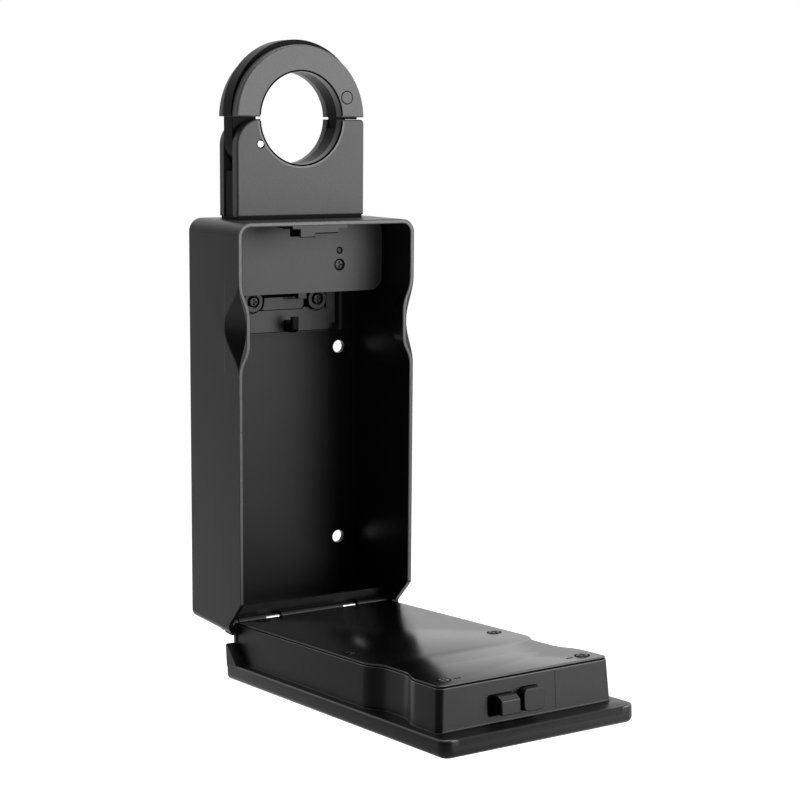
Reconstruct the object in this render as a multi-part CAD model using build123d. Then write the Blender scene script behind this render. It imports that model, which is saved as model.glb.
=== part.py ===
# Hanging or wall-mounted key safe: a deep case with a drop-down door, a keypad lock in the
# door and a hinged ring on top that closes round a handle or rail.
import math
import os
from build123d import *

# Everything is built with the door shut, in millimetres: X to the right of someone who
# faces the door, Y from the case rim into the wall, Z up from the underside.

# Case
case_w = 80.0
case_h = 165.5
case_d = 46.0
case_wall = 1.7
case_back = 2.8
case_corner_r = 5.5
case_edge_r = 3.0
foot_chamfer_z = 14.2
foot_chamfer_y = 9.9

# Heights called a drop are measured down from the top of the case

# Finger grips in the two long rims
waist_dip = 3.4
waist_low_drop = 59.5
waist_narrow_low_drop = 47.5
waist_narrow_high_drop = 37.5
waist_high_drop = 23.0
waist_reach = 12.5

# Wall fixing holes
hole_r = 2.7
hole_pitch_x = 60.0
hole_pitch_z = 83.0
hole_low_z = 26.2
hole_seat_r = 5.2
hole_seat_deep = 0.6

# Door hinge
hinge_y = 14.7
hinge_z = 3.3
pin_r = 1.25
knuckle_r = 2.4
centre_knuckle_half = 14.5
door_knuckle_in = 21.6
door_knuckle_out = 34.0
pin_clear = 0.06
open_angle = 85.0
stop_clear = 0.12
sill_y = 18.2
sill_t = 1.8
sill_h = 8.3

# Door
rim_gap = 0.5
slab_t = 5.5
slab_top_step = 0.1
slab_corner_r = 5.5
slab_edge_r = 2.8
door_low_gap = 1.05
box_clear = 1.6
box_deep = 14.9
box_draft = 1.1
box_wall = 1.8
box_top_drop = 9.45
skin_t = 2.5
plate_t = 1.2
plate_sink = 0.15
plate_lip = 0.8
plate_gap = 0.25
box_edge_r = 0.35
cheek_gap = 0.3
cheek_reach = 7.3

# Inner plate screws
screw_head_r = 2.3
screw_head_t = 1.5
screw_r = 1.15
screw_len = 8.0
screw_boss_r = 3.1
plate_screw_xs = [27.0, 30.0, 29.3]
plate_screw_low_z = 9.7
plate_screw_mid_z = 91.0
plate_screw_top_drop = 15.6
plate_slot_x = 24.4
plate_slot_w = 2.6
plate_slot_h = 0.9

# Latch bolt, with its slope on the leading side, and dead bolt
bolt_gap = 0.25
latch_x0 = -14.0
latch_w = 7.4
latch_h = 8.1
latch_out = 5.2
latch_len = 22.0
latch_slope_out = 4.8
latch_slope_in = 3.1
dead_x0 = -4.6
dead_w = 9.1
dead_h = 7.4
dead_out = 3.9
dead_len = 33.0
dead_travel = 3.0
bolt_front_y = 3.0
spring_r = 2.6
spring_wall = 0.5

# Strike plate under the case roof
strike_t = 1.2
strike_lip_y0 = 0.3
strike_lip_t = 1.7
strike_lip_drop = 4.5
strike_tab_drop = 6.0
strike_x0 = -15.9
strike_x1 = 8.7
strike_lip_x0 = -12.4
strike_lip_x1 = 4.8
strike_tab_w = 6.6
strike_side_t = 0.8
strike_side_deep = 7.3
strike_side_drop = 4.0
strike_deep = 15.6

# Lock housing, pinion and motor inside the door
lock_low_drop = 46.5
lock_margin = 2.4
gear_module = 0.7
gear_teeth = 10
gear_w = 4.4
gear_backlash = 0.16
rack_floor_y = 4.6
rack_below = 5.5
pinion_drop = 34.0
pinion_x0 = -0.2
motor_r = 6.0
motor_flat = 10.0
motor_wall_gap = 1.4
motor_shaft_r = 1.0
motor_gap = 4.4

# Keypad on the outside of the door
fascia_t = 1.4
fascia_margin = 9.0
fascia_low_z = 14.0
fascia_high_drop = 11.5
fascia_r = 7.0
fascia_gap = 0.2
key_r = 6.0
key_gap = 0.2
key_proud = 0.6
key_flange = 0.9
key_flange_t = 0.9
key_travel = 0.8
key_side_gap = 7.0
key_pitch_z = 18.0
key_lock_gap = 9.0
key_rows = 4
key_columns = 3
mat_t = 0.8
mat_room = 0.2
board_t = 1.6
board_half = 25.4
board_low_z = 20.0
board_lock_gap = 2.0
lens_r = 1.9
lens_drop = 27.5

# Cells and their cradle
cell_r = 5.25
cell_len = 44.5
cell_pitch = 11.0
cell_count = 4
cell_lock_gap = 12.5
cradle_t = 1.1
cradle_room = 0.3

# Ring head: a fixed block and a hinged half ring, each a core between two covers
ring_back_set = 8.1
cover_front_t = 4.2
core_t = 7.9
cover_rear_t = 3.9
layer_gap = 0.05
ring_inner_r = 18.5
ring_outer_r = 29.1
ring_rise = 40.1
core_inset = 0.1
arm_core_rise = 1.8
arm_core_proud = 0.3
arm_rear_proud = 0.2
split_gap = 0.9
foot_t = 1.0
foot_inset = 0.6
ring_edge_r = 0.7
shoulder_share = 0.99
block_right_r = 1.5
pivot_drop = 10.3
pivot_pin_r = 1.6
pivot_end_r = 1.2
pivot_sink_r = 1.9
pivot_sink_deep = 0.9
rivet_x = 21.0
rivet_rise = 8.4
rivet_r = 2.5
tongue_set = 0.4
tongue_share = 0.35
tongue_len = 16.0
tongue_notch_share = 0.55
tongue_notch_low = 14.7
tongue_notch_h = 2.8
swing_clear = 0.3

# Slide that locks the half ring from inside the case
slide_travel_share = 0.22
slide_t = 3.0
slide_set = 4.3
slide_share = 0.17
tooth_h = 2.0
slide_clear = 0.25
slide_arm_drop = 27.9
slide_arm_h = 4.2
tab_x0 = 3.0
tab_w = 4.0
tab_low_drop = 34.0
block_screw_x = 13.0
block_screw_len = 12.0

# Cover over the ring mechanism
hood_y = 20.0
hood_low_drop = 30.2
hood_t = 1.4
hood_gap = 1.4
hood_back_gap = 6.0
hood_corner_r = 5.5
hood_shelf_gap = 0.5
post_x = 16.6
post_screw_drop = 19.2
post_pin_drop = 13.3
post_r = 3.4
post_pin_r = 1.1
hood_screw_sink = 1.9
hood_screw_len = 10.1

# Key hook and its carrier
carrier_stand = 5.6
carrier_x0 = -21.5
carrier_x1 = 24.5
carrier_low_drop = 48.2
carrier_high_drop = 24.5
carrier_pad_t = 1.5
carrier_pad_x0 = -11.6
carrier_pad_x1 = 8.6
carrier_pad_rise = 10.0
carrier_screw_x = 15.0
carrier_screw_drop = 34.5
carrier_screw_sink = 0.8
carrier_boss_r = 4.2
carrier_block_x0 = 19.6
carrier_block_x1 = 23.6
carrier_block_rise = 9.3
carrier_notch_x0 = 21.3
carrier_notch_rise = 3.1
hook_x = 1.6
hook_w = 3.0
hook_reach = 7.6
hook_low_drop = 47.6
hook_t = 3.2
hook_lip = 3.4


def front(sketch, y0, y1):
    """Solid from a sketch drawn in X and Z, between two depths."""
    plane = Plane(origin=(0, y1, 0), x_dir=(1, 0, 0), z_dir=(0, -1, 0))
    return extrude(plane * sketch, y1 - y0)


def side(sketch, x0, x1):
    """Solid from a sketch drawn in Y and Z, between two widths."""
    plane = Plane(origin=(x0, 0, 0), x_dir=(0, 1, 0), z_dir=(1, 0, 0))
    return extrude(plane * sketch, x1 - x0)


def plan(sketch, z0, z1):
    """Solid from a sketch drawn in X and Y, between two heights."""
    return extrude(Plane(origin=(0, 0, z0)) * sketch, z1 - z0)


def poly(*points):
    return make_face(Polyline(*points, close=True))


def rect(x0, x1, z0, z1, r=0.0):
    middle = Pos((x0 + x1) / 2, (z0 + z1) / 2)
    if r > 0:
        return middle * RectangleRounded(x1 - x0, z1 - z0, r)
    return middle * Rectangle(x1 - x0, z1 - z0)


def disc(x, z, r):
    return Pos(x, z) * Circle(r)


def bar(x0, x1, y0, y1, z0, z1):
    return front(rect(x0, x1, z0, z1), y0, y1)


def rod_x(y, z, r, x0, x1):
    return side(disc(y, z, r), x0, x1)


def rod_y(x, z, r, y0, y1):
    return front(disc(x, z, r), y0, y1)


def rod_z(x, y, r, z0, z1):
    return plan(disc(x, y, r), z0, z1)


def both(shape):
    """The shape and its mirror image across the middle of the case."""
    return [shape, mirror(shape, Plane.YZ)]


def bend(start, end):
    """Two equal arcs that leave start and reach end upright."""
    middle = ((start[0] + end[0]) / 2, (start[1] + end[1]) / 2)
    first = TangentArc(start, middle, tangent=(0, 1))
    second = TangentArc(middle, end, tangent=first % 1)
    return [first, second]


def waist(half):
    """The waisted stretch of a right-hand edge, from low to high."""
    narrow = half - waist_dip
    low = bend((half, waist_low), (narrow, waist_narrow_low))
    high = bend((narrow, waist_narrow_high), (half, waist_high))
    return low + [Line((narrow, waist_narrow_low), (narrow, waist_narrow_high))] + high


def scoops(half):
    """Cutters for both waists, fading out towards the back of the case."""
    edges = waist(half)
    outside = Polyline((half, waist_high), (half + 5, waist_high),
                       (half + 5, waist_low), (half, waist_low))
    face = make_face(edges + [outside])
    lead = 1.0
    drift = waist_dip / waist_reach
    plane = Plane(origin=(-lead * drift, -lead, 0), x_dir=(1, 0, 0), z_dir=(0, -1, 0))
    reach = waist_reach + lead
    cutter = extrude(plane * face, math.hypot(reach, reach * drift), dir=(drift, 1, 0))
    return both(cutter)


def waisted_outline(half, z0, z1, low_r, high_r):
    """Upright outline with the waist on both sides."""
    right = [Line((half, z0), (half, waist_low))] + waist(half)
    right.append(Line((half, waist_high), (half, z1)))
    left = [mirror(edge, Plane.YZ) for edge in right]
    face = make_face(right + left + [Line((-half, z0), (half, z0)), Line((-half, z1), (half, z1))])
    rows = face.vertices().group_by(Axis.Y)
    if high_r > 0:
        face = fillet(rows[-1], high_r)
    if low_r > 0:
        face = fillet(face.vertices().group_by(Axis.Y)[0], low_r)
    return face


def case_outline(inset, low):
    half = case_w / 2 - inset
    face = rect(-half, half, low, case_h - inset)
    face = fillet(face.vertices().group_by(Axis.Y)[-1], case_corner_r - inset)
    return fillet(face.vertices().group_by(Axis.Y)[0], max(case_edge_r - inset, 0.6))


def cross_screw(x, z, head_y, shank_end_y, head_r, shank_r, head_t):
    """Pan-head cross screw driven along +Y, with the underside of its head at head_y."""
    top = head_y - head_t
    head = rod_y(x, z, head_r, top, head_y)
    head = fillet(head.edges().group_by(Axis.Y)[0], head_t * 0.55)
    deep = head_t * 0.6
    for w, h in ((head_r * 1.15, head_r * 0.3), (head_r * 0.3, head_r * 1.15)):
        head -= bar(x - w / 2, x + w / 2, top - 1, top + deep, z - h / 2, z + h / 2)
    return head + rod_y(x, z, shank_r, head_y - 0.1, shank_end_y)


# Shared places
inner_half = case_w / 2 - case_wall
inner_top = case_h - case_wall
back_face_y = case_d - case_back
hole_high_z = hole_low_z + hole_pitch_z
waist_low = case_h - waist_low_drop
waist_narrow_low = case_h - waist_narrow_low_drop
waist_narrow_high = case_h - waist_narrow_high_drop
waist_high = case_h - waist_high_drop
ring_z = case_h + ring_rise
ring_y0 = case_d - ring_back_set - cover_rear_t - core_t - cover_front_t
core_y0 = ring_y0 + cover_front_t
core_y1 = core_y0 + core_t
rear_y1 = core_y1 + cover_rear_t
block_z0 = case_h + foot_t
block_top = ring_z - split_gap / 2
arm_low = ring_z + split_gap / 2
ring_wall = ring_outer_r - ring_inner_r
shoulder_r = ring_wall * shoulder_share
pivot_x = -ring_outer_r + shoulder_r
pivot_z = ring_z - pivot_drop
tongue_x0 = ring_inner_r + tongue_set
tongue_x1 = tongue_x0 + ring_wall * tongue_share
tongue_notch = (tongue_x1 - tongue_x0) * tongue_notch_share
barb_radius = math.hypot(tongue_x1 - pivot_x, tongue_len - pivot_drop)
tooth_tip_x = pivot_x + barb_radius + swing_clear
slide_travel = ring_wall * slide_travel_share
slide_x0 = tongue_x1 + swing_clear + slide_travel
slide_x1 = slide_x0 + ring_wall * slide_share
slide_y0 = core_y0 + slide_set
slide_arm_z0 = case_h - slide_arm_drop
tab_low_z = case_h - tab_low_drop
tooth_top = ring_z - tongue_notch_low + tongue_notch_h - 0.4
door_low_z = hinge_z + knuckle_r + door_low_gap
door_high_z = case_h - slab_top_step
box_top_z = case_h - box_top_drop
rim_y = -rim_gap
face_y = rim_y - slab_t
box_y1 = rim_y + box_deep
plate_y1 = box_y1 + plate_t
box_half = inner_half - box_clear
plate_half = box_half - box_draft
pocket_y = face_y + fascia_t + skin_t
plate_screw_zs = [plate_screw_low_z, plate_screw_mid_z, case_h - plate_screw_top_drop]
plate_screws_at = list(zip(plate_screw_xs, plate_screw_zs))
strike_lip_low = case_h - strike_lip_drop
strike_tab_low = case_h - strike_tab_drop
post_screw_z = case_h - post_screw_drop
post_pin_z = case_h - post_pin_drop
hood_low_z = case_h - hood_low_drop
lock_low_z = case_h - lock_low_drop
pinion_z = case_h - pinion_drop
lens_z = case_h - lens_drop
key_row_z = lock_low_z - key_lock_gap - (key_rows - 1) * key_pitch_z
cell_low_z = lock_low_z - cell_lock_gap - cell_len
board_high_z = lock_low_z - board_lock_gap
fascia_w = case_w - fascia_margin * 2
key_pitch_x = (fascia_w / 2 - key_side_gap - key_r) * 2 / (key_columns - 1)
fascia_high_z = case_h - fascia_high_drop
parts = {}


# Case shell: one moulding with the roof, sides, back, floor, sill and centre knuckle
shell = front(case_outline(0, 0), 0, case_d)
shell = fillet(shell.edges().group_by(Axis.Y)[-1], case_edge_r)
for cutter in scoops(case_w / 2):
    shell -= cutter
cavity = front(case_outline(case_wall, case_wall), -1, back_face_y)
for cutter in scoops(inner_half):
    cavity -= cutter
shell -= cavity
shell -= bar(-inner_half, inner_half, -1, sill_y, -1, sill_h)
chamfer_end_z = foot_chamfer_z - foot_chamfer_y
shell -= side(poly((-2, -2), (-2, foot_chamfer_z + 2), (foot_chamfer_y, chamfer_end_z),
                   (foot_chamfer_y, -2)), -case_w, case_w)
shell += bar(-inner_half, inner_half, sill_y, sill_y + sill_t, 0, sill_h)
knuckle_low = hinge_z - knuckle_r
shell += rod_x(hinge_y, hinge_z, knuckle_r, -centre_knuckle_half, centre_knuckle_half)
shell += bar(-centre_knuckle_half, centre_knuckle_half, hinge_y, sill_y + 0.5,
             knuckle_low, hinge_z + 0.8)
# The square toe of the knuckle stops the door at its open angle
turn = math.radians(open_angle)
toe = (knuckle_r + door_low_gap - stop_clear + knuckle_r * math.cos(turn)) / math.sin(turn)
shell += bar(-centre_knuckle_half, centre_knuckle_half, hinge_y - toe, hinge_y,
             knuckle_low, knuckle_low + 1.2)
pin_half = inner_half + case_wall * 0.55
shell -= rod_x(hinge_y, hinge_z, pin_r + 0.01, -pin_half, pin_half)
for z in (hole_low_z, hole_high_z):
    for x in (-hole_pitch_x / 2, hole_pitch_x / 2):
        shell -= rod_y(x, z, hole_r, back_face_y - 1, case_d + 1)
        shell -= rod_y(x, z, hole_seat_r, back_face_y - 1, back_face_y + hole_seat_deep)
post = front(rect(post_x - post_r, post_x + post_r, post_screw_z - post_r,
                  post_pin_z + post_r, post_r - 0.1), hood_y + hood_t + 2.6, back_face_y + 0.5)
post -= rod_y(post_x, post_screw_z, screw_r, hood_y, back_face_y - 4)
shell += post
shell += rod_y(post_x, post_pin_z, post_pin_r, hood_y + 0.3, back_face_y - 2)
slot_x0 = tooth_tip_x - slide_travel - slide_clear
slot_x1 = slide_x1 + slide_clear
slide_y1 = slide_y0 + slide_t
shell -= bar(slot_x0, slot_x1, slide_y0 - slide_clear, slide_y1 + slide_clear,
             inner_top - 1, case_h + 1)
ring_mid_y = (core_y0 + core_y1) / 2
for x in (-block_screw_x, block_screw_x):
    shell -= rod_z(x, ring_mid_y, screw_r + 0.5, inner_top - 1, case_h + 1)
strike_screw_y = (bolt_front_y + latch_h + bolt_gap * 2 + strike_deep) / 2 + 0.3
strike_screws_at = [strike_x0 + 4.5, strike_x1 - 4.5]
for x in strike_screws_at:
    shell -= rod_z(x, strike_screw_y, 0.8, inner_top - 1, inner_top + 1.2)
parts["case_shell"] = shell

parts["hinge_pin"] = rod_x(hinge_y, hinge_z, pin_r, -pin_half, pin_half)

# Strike plate: a window for the bolts, with a lip and a tab at the rim that they pass behind
window_y0 = strike_lip_y0 + strike_lip_t
window_y1 = bolt_front_y + latch_h + bolt_gap * 2
strike = bar(strike_x0, strike_x1, strike_lip_y0, strike_deep, inner_top - strike_t, inner_top)
strike -= bar(latch_x0 - 0.9, dead_x0 + dead_w + 0.9, window_y0, window_y1,
              inner_top - strike_t - 1, inner_top + 1)
lip = rect(strike_lip_x0, strike_lip_x1, strike_lip_low, inner_top - strike_t + 0.3)
lip = fillet(lip.vertices().group_by(Axis.Y)[0].sort_by(Axis.X)[-1], 1.2)
strike += front(lip, strike_lip_y0, window_y0)
tab_x_end = strike_lip_x0 + strike_tab_w
tab = front(poly((strike_lip_x0, strike_lip_low + 0.3), (strike_lip_x0, strike_tab_low),
                 (tab_x_end - 1.0, strike_tab_low), (tab_x_end, strike_lip_low),
                 (tab_x_end, strike_lip_low + 0.3)), strike_lip_y0, window_y0)
strike += tab
# A side flange runs back from the tab, above the latch bolt
flange_low = case_h - strike_side_drop
strike += side(poly((strike_lip_y0, strike_tab_low), (window_y0, strike_tab_low),
                    (window_y0 + 0.8, flange_low), (strike_side_deep, flange_low + 0.3),
                    (strike_side_deep, inner_top - strike_t - 0.2),
                    (strike_lip_y0, inner_top - strike_t - 0.2)),
               strike_lip_x0, strike_lip_x0 + strike_side_t)
for x in strike_screws_at:
    strike -= rod_z(x, strike_screw_y, 0.8, inner_top - 3, inner_top + 1)
parts["strike_plate"] = strike
rivets = []
for x in strike_screws_at:
    rivet = rod_z(x, strike_screw_y, 1.5, inner_top - strike_t - 0.7, inner_top - strike_t)
    rivets.append(rivet + rod_z(x, strike_screw_y, 0.8, inner_top - strike_t - 0.1, inner_top + 1.1))
parts["strike_rivets"] = Compound(children=rivets)

# Hood over the ring mechanism, open at the back and top
hood_half = inner_half - hood_gap
hood_high = inner_top - 0.2
hood_face = rect(-hood_half, hood_half, hood_low_z, hood_high)
hood_face = fillet(hood_face.vertices().group_by(Axis.Y)[0], hood_corner_r)
hood_face = fillet(hood_face.vertices().group_by(Axis.Y)[-1], case_corner_r - case_wall)
room_face = rect(-hood_half + hood_t, hood_half - hood_t, hood_low_z + hood_t, hood_high + 5)
room_face = fillet(room_face.vertices().group_by(Axis.Y)[0], hood_corner_r - hood_t)
hood = front(hood_face, hood_y, back_face_y - hood_back_gap)
hood -= front(room_face, hood_y + hood_t, case_d)
hood -= bar(-hood_half + hood_corner_r, hood_half - hood_corner_r, slide_y0 - hood_shelf_gap,
            case_d, hood_low_z - 1, hood_low_z + hood_t + 0.5)
sleeve = rod_y(post_x, post_screw_z, post_r, hood_y + 0.5, hood_y + hood_t + 2.5)
hood += sleeve
hood -= rod_y(post_x, post_screw_z, screw_head_r + 0.2, hood_y - 1, hood_y + hood_screw_sink)
hood -= rod_y(post_x, post_screw_z, screw_r + 0.15, hood_y, hood_y + 6)
hood -= rod_y(post_x, post_pin_z, post_pin_r + 0.1, hood_y - 1, hood_y + 6)
parts["mechanism_hood"] = hood
hood_screw_y = hood_y + hood_screw_sink
parts["hood_screw"] = cross_screw(post_x, post_screw_z, hood_screw_y, hood_screw_y + hood_screw_len,
                                  screw_head_r, screw_r, screw_head_t)

# Carrier for the key hook: back plate, raised middle pad, two screw bosses and a side rib
carrier_y = back_face_y - carrier_stand
carrier_low_z = case_h - carrier_low_drop
carrier_high_z = case_h - carrier_high_drop
carrier_screw_z = case_h - carrier_screw_drop
carrier = bar(carrier_x0, carrier_x1, carrier_y, back_face_y, carrier_low_z, carrier_high_z)
carrier = fillet(carrier.edges().filter_by(Axis.Y), 1.5)
pad_y = carrier_y - carrier_pad_t
carrier += front(rect(carrier_pad_x0, carrier_pad_x1, carrier_low_z + carrier_pad_rise,
                      carrier_high_z, 2.0), pad_y, carrier_y + 0.3)
tab_room_x0 = tab_x0 - slide_travel - 1.6
carrier -= bar(tab_room_x0, tab_x0 + tab_w + 0.3, pad_y - 1, carrier_y - 0.3,
               tab_low_z, carrier_high_z + 1)
for cutter in both(rod_y(carrier_screw_x, carrier_screw_z, carrier_boss_r + 1.1,
                         pad_y - 1, carrier_y + 1.6)):
    carrier -= cutter
for boss in both(rod_y(carrier_screw_x, carrier_screw_z, carrier_boss_r, carrier_y - 1.9,
                       carrier_y + 2.2)):
    carrier += boss
carrier += front(rect(carrier_block_x0, carrier_block_x1, carrier_low_z + carrier_block_rise,
                      carrier_high_z - 1.5, 1.0), pad_y, carrier_y + 0.3)
carrier -= bar(carrier_notch_x0, carrier_x1 + 0.5, pad_y - 1, back_face_y - 1.6,
               carrier_low_z - 1, carrier_low_z + carrier_notch_rise)
carrier_screw_y = carrier_y - carrier_screw_sink
carrier_screw_end_y = back_face_y - carrier_screw_sink
for x in (-carrier_screw_x, carrier_screw_x):
    carrier -= rod_y(x, carrier_screw_z, screw_head_r + 0.5, pad_y - 1, carrier_screw_y)
    carrier -= rod_y(x, carrier_screw_z, screw_r, pad_y - 1, carrier_screw_end_y + 0.2)
carrier += bar(carrier_x1 + 1.4, carrier_x1 + 2.8, carrier_y - 1.2, back_face_y,
               carrier_low_z, carrier_high_z)
carrier += bar(carrier_x1 - 1, carrier_x1 + 2, back_face_y - 1.5, back_face_y,
               carrier_low_z + 0.5, carrier_high_z - 0.5)
parts["hook_carrier"] = carrier
parts["carrier_screws"] = Compound(children=[
    cross_screw(x, carrier_screw_z, carrier_screw_y, carrier_screw_end_y,
                screw_head_r, screw_r, screw_head_t)
    for x in (-carrier_screw_x, carrier_screw_x)])

# Key hook: a bent bar with an upturned tip
hook_low_z = case_h - hook_low_drop
tip_y = carrier_y - hook_reach
hook_profile = poly((carrier_y, hook_low_z), (tip_y + 1.5, hook_low_z),
                    (tip_y, hook_low_z + 1.5), (tip_y, hook_low_z + hook_t + hook_lip),
                    (tip_y + 1.8, hook_low_z + hook_t + hook_lip),
                    (tip_y + 2.4, hook_low_z + hook_t), (carrier_y, hook_low_z + hook_t + 1.6))
parts["key_hook"] = side(hook_profile, hook_x - hook_w / 2, hook_x + hook_w / 2)

# Fixed block of the ring head
foot = front(rect(-ring_outer_r + foot_inset, ring_outer_r - foot_inset, case_h, block_z0),
             ring_y0 + foot_inset, rear_y1 - foot_inset)
ring_bore = disc(0, ring_z, ring_inner_r)
foot -= bar(slot_x0, slot_x1, slide_y0 - slide_clear, slide_y1 + slide_clear,
            case_h - 1, block_z0 + 1)
for x in (-block_screw_x, block_screw_x):
    foot -= rod_z(x, ring_mid_y, screw_r + 0.5, case_h - 1, block_z0 + 1)
parts["ring_foot"] = foot

block_face = rect(-ring_outer_r, ring_outer_r, block_z0, block_top)
tops = block_face.vertices().group_by(Axis.Y)[-1].sort_by(Axis.X)
block_face = fillet(tops[0], shoulder_r - (ring_z - pivot_z - shoulder_r) - split_gap / 2 + 0.3)
tops = block_face.vertices().group_by(Axis.Y)[-1].sort_by(Axis.X)
block_face = fillet(tops[-1], block_right_r)
block_face -= ring_bore


def rounded_front(solid):
    return fillet(solid.faces().sort_by(Axis.Y)[0].outer_wire().edges(), ring_edge_r)


def rounded_rear(solid):
    return fillet(solid.faces().sort_by(Axis.Y)[-1].outer_wire().edges(), ring_edge_r)


block_front = rounded_front(front(block_face, ring_y0, core_y0))
block_rear = rounded_rear(front(block_face, core_y1, rear_y1))
pivot_end = rod_y(pivot_x, pivot_z, pivot_end_r, ring_y0 + 0.2, rear_y1 - 0.2)
pivot_room = rod_y(pivot_x, pivot_z, pivot_end_r, ring_y0 - 1, rear_y1 + 1)
for y0, y1 in ((ring_y0 - 1, ring_y0 + pivot_sink_deep), (rear_y1 - pivot_sink_deep, rear_y1 + 1)):
    pivot_room += rod_y(pivot_x, pivot_z, pivot_sink_r, y0, y1)
parts["block_front_cover"] = block_front - pivot_room
parts["block_rear_cover"] = block_rear - pivot_room

# The block's core leaves room for the swinging leg, the tongue and the locking slide
core_half = ring_outer_r - core_inset
core_face = rect(-core_half + 0.3, core_half - 0.1, block_z0, block_top) - ring_bore
room_r = shoulder_r - core_inset + swing_clear
core_face -= disc(pivot_x, pivot_z, room_r)
core_face -= rect(-core_half - 2, pivot_x, pivot_z - room_r, block_top + 1)
core_face -= rect(-core_half - 2, -ring_inner_r / 2, pivot_z, block_top + 1)
tongue_room = disc(pivot_x, pivot_z, barb_radius + swing_clear + 0.2)
tongue_room -= disc(pivot_x, pivot_z, tongue_x0 - pivot_x - swing_clear)
tongue_room &= rect(0, ring_outer_r, ring_z - tongue_len - 0.6, ring_z + 2)
core_face -= tongue_room
core_face -= rect(tongue_x1 - 0.5, slide_x1 + slide_clear, ring_z - tongue_len - 0.6, ring_z + 2)
block_core = front(core_face, core_y0 + layer_gap, core_y1 - layer_gap)
block_core -= bar(slot_x0, slot_x1, slide_y0 - slide_clear, slide_y1 + slide_clear,
                  block_z0 - 1, ring_z)
for x in (-block_screw_x, block_screw_x):
    block_core -= rod_z(x, ring_mid_y, screw_r + 0.3, block_z0 - 1, case_h + block_screw_len)
parts["block_core"] = block_core
block_screws = []
for x in (-block_screw_x, block_screw_x):
    head = Rot(90, 0, 0) * cross_screw(0, 0, 0, block_screw_len + case_wall - 0.5,
                                       screw_head_r + 0.4, screw_r + 0.3, screw_head_t)
    block_screws.append(Pos(x, ring_mid_y, inner_top) * head)
parts["block_screws"] = Compound(children=block_screws)
parts["arm_pivot"] = pivot_end + rod_y(pivot_x, pivot_z, pivot_pin_r, core_y0 + layer_gap,
                                       core_y1 - layer_gap)

# Swinging half ring: core with leg and tongue, two covers and the rivet that joins them
# The core stands a little above and outside the covers
upper_half = rect(-ring_outer_r - 3, ring_outer_r + 3, arm_low, ring_z + ring_outer_r + 5)
arm_core_r = ring_outer_r + arm_core_proud
half_ring = disc(0, ring_z + arm_core_rise, arm_core_r)
half_ring += rect(-arm_core_r, arm_core_r, arm_low, ring_z + arm_core_rise)
half_ring = half_ring & upper_half
arm_face = half_ring + disc(pivot_x, pivot_z, shoulder_r - core_inset)
arm_face += rect(-ring_outer_r + core_inset, pivot_x, pivot_z, arm_low)
arm_face += rect(pivot_x, -ring_inner_r + 3, pivot_z, arm_low)
arm_face += rect(tongue_x0, tongue_x1, ring_z - tongue_len, arm_low)
arm_face -= ring_bore
arm_face -= rect(tongue_x1 - tongue_notch, tongue_x1 + 1, ring_z - tongue_notch_low,
                 ring_z - tongue_notch_low + tongue_notch_h)
arm_face -= disc(pivot_x, pivot_z, pivot_pin_r + 0.06)
arm_core = front(arm_face, core_y0 + layer_gap * 2, core_y1 - layer_gap * 2)
rivet_z = ring_z + rivet_rise
arm_core -= rod_y(rivet_x, rivet_z, 1.5, core_y0, core_y1)
parts["arm_core"] = arm_core
cover_face = (disc(0, ring_z, ring_outer_r) & upper_half) - ring_bore
arm_front = rounded_front(front(cover_face, ring_y0, core_y0))
rear_face = (disc(0, ring_z, ring_outer_r + arm_rear_proud) & upper_half) - ring_bore
arm_rear = rounded_rear(front(rear_face, core_y1, rear_y1))
parts["arm_front_cover"] = (arm_front - rod_y(rivet_x, rivet_z, 1.5, ring_y0, core_y1)
                            - rod_y(rivet_x, rivet_z, rivet_r, ring_y0 - 1, ring_y0 + 0.9))
parts["arm_rear_cover"] = (arm_rear - rod_y(rivet_x, rivet_z, 1.5, core_y0, rear_y1 + 1)
                           - rod_y(rivet_x, rivet_z, rivet_r, rear_y1 - 0.9, rear_y1 + 1))
rivet = rod_y(rivet_x, rivet_z, 1.5, ring_y0 + 0.5, rear_y1 - 0.5)
rivet += rod_y(rivet_x, rivet_z, rivet_r, ring_y0 - 0.15, ring_y0 + 0.9)
rivet += rod_y(rivet_x, rivet_z, rivet_r, rear_y1 - 0.9, rear_y1 + 0.15)
parts["arm_rivet"] = rivet

# Locking slide: an upright with a tooth, an arm under the roof and a finger tab
slide_face = rect(slide_x0, slide_x1, slide_arm_z0, tooth_top)
slide_face += rect(tooth_tip_x, slide_x0 + 0.2, tooth_top - tooth_h, tooth_top)
slide_face += rect(tab_x0, slide_x1, slide_arm_z0, slide_arm_z0 + slide_arm_h)
slide_face += rect(tab_x0, tab_x0 + tab_w, tab_low_z + 0.3, slide_arm_z0 + 1)
parts["ring_lock_slide"] = front(slide_face, slide_y0, slide_y1)

# Door shell: face slab, waisted box, hinge cheeks and outer knuckles in one moulding
slab_face = rect(-case_w / 2, case_w / 2, door_low_z, door_high_z)
slab_face = fillet(slab_face.vertices().group_by(Axis.Y)[-1], slab_corner_r)
slab = front(slab_face, face_y, rim_y)
slab = fillet(slab.edges().group_by(Axis.Y)[0], slab_edge_r)
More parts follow.
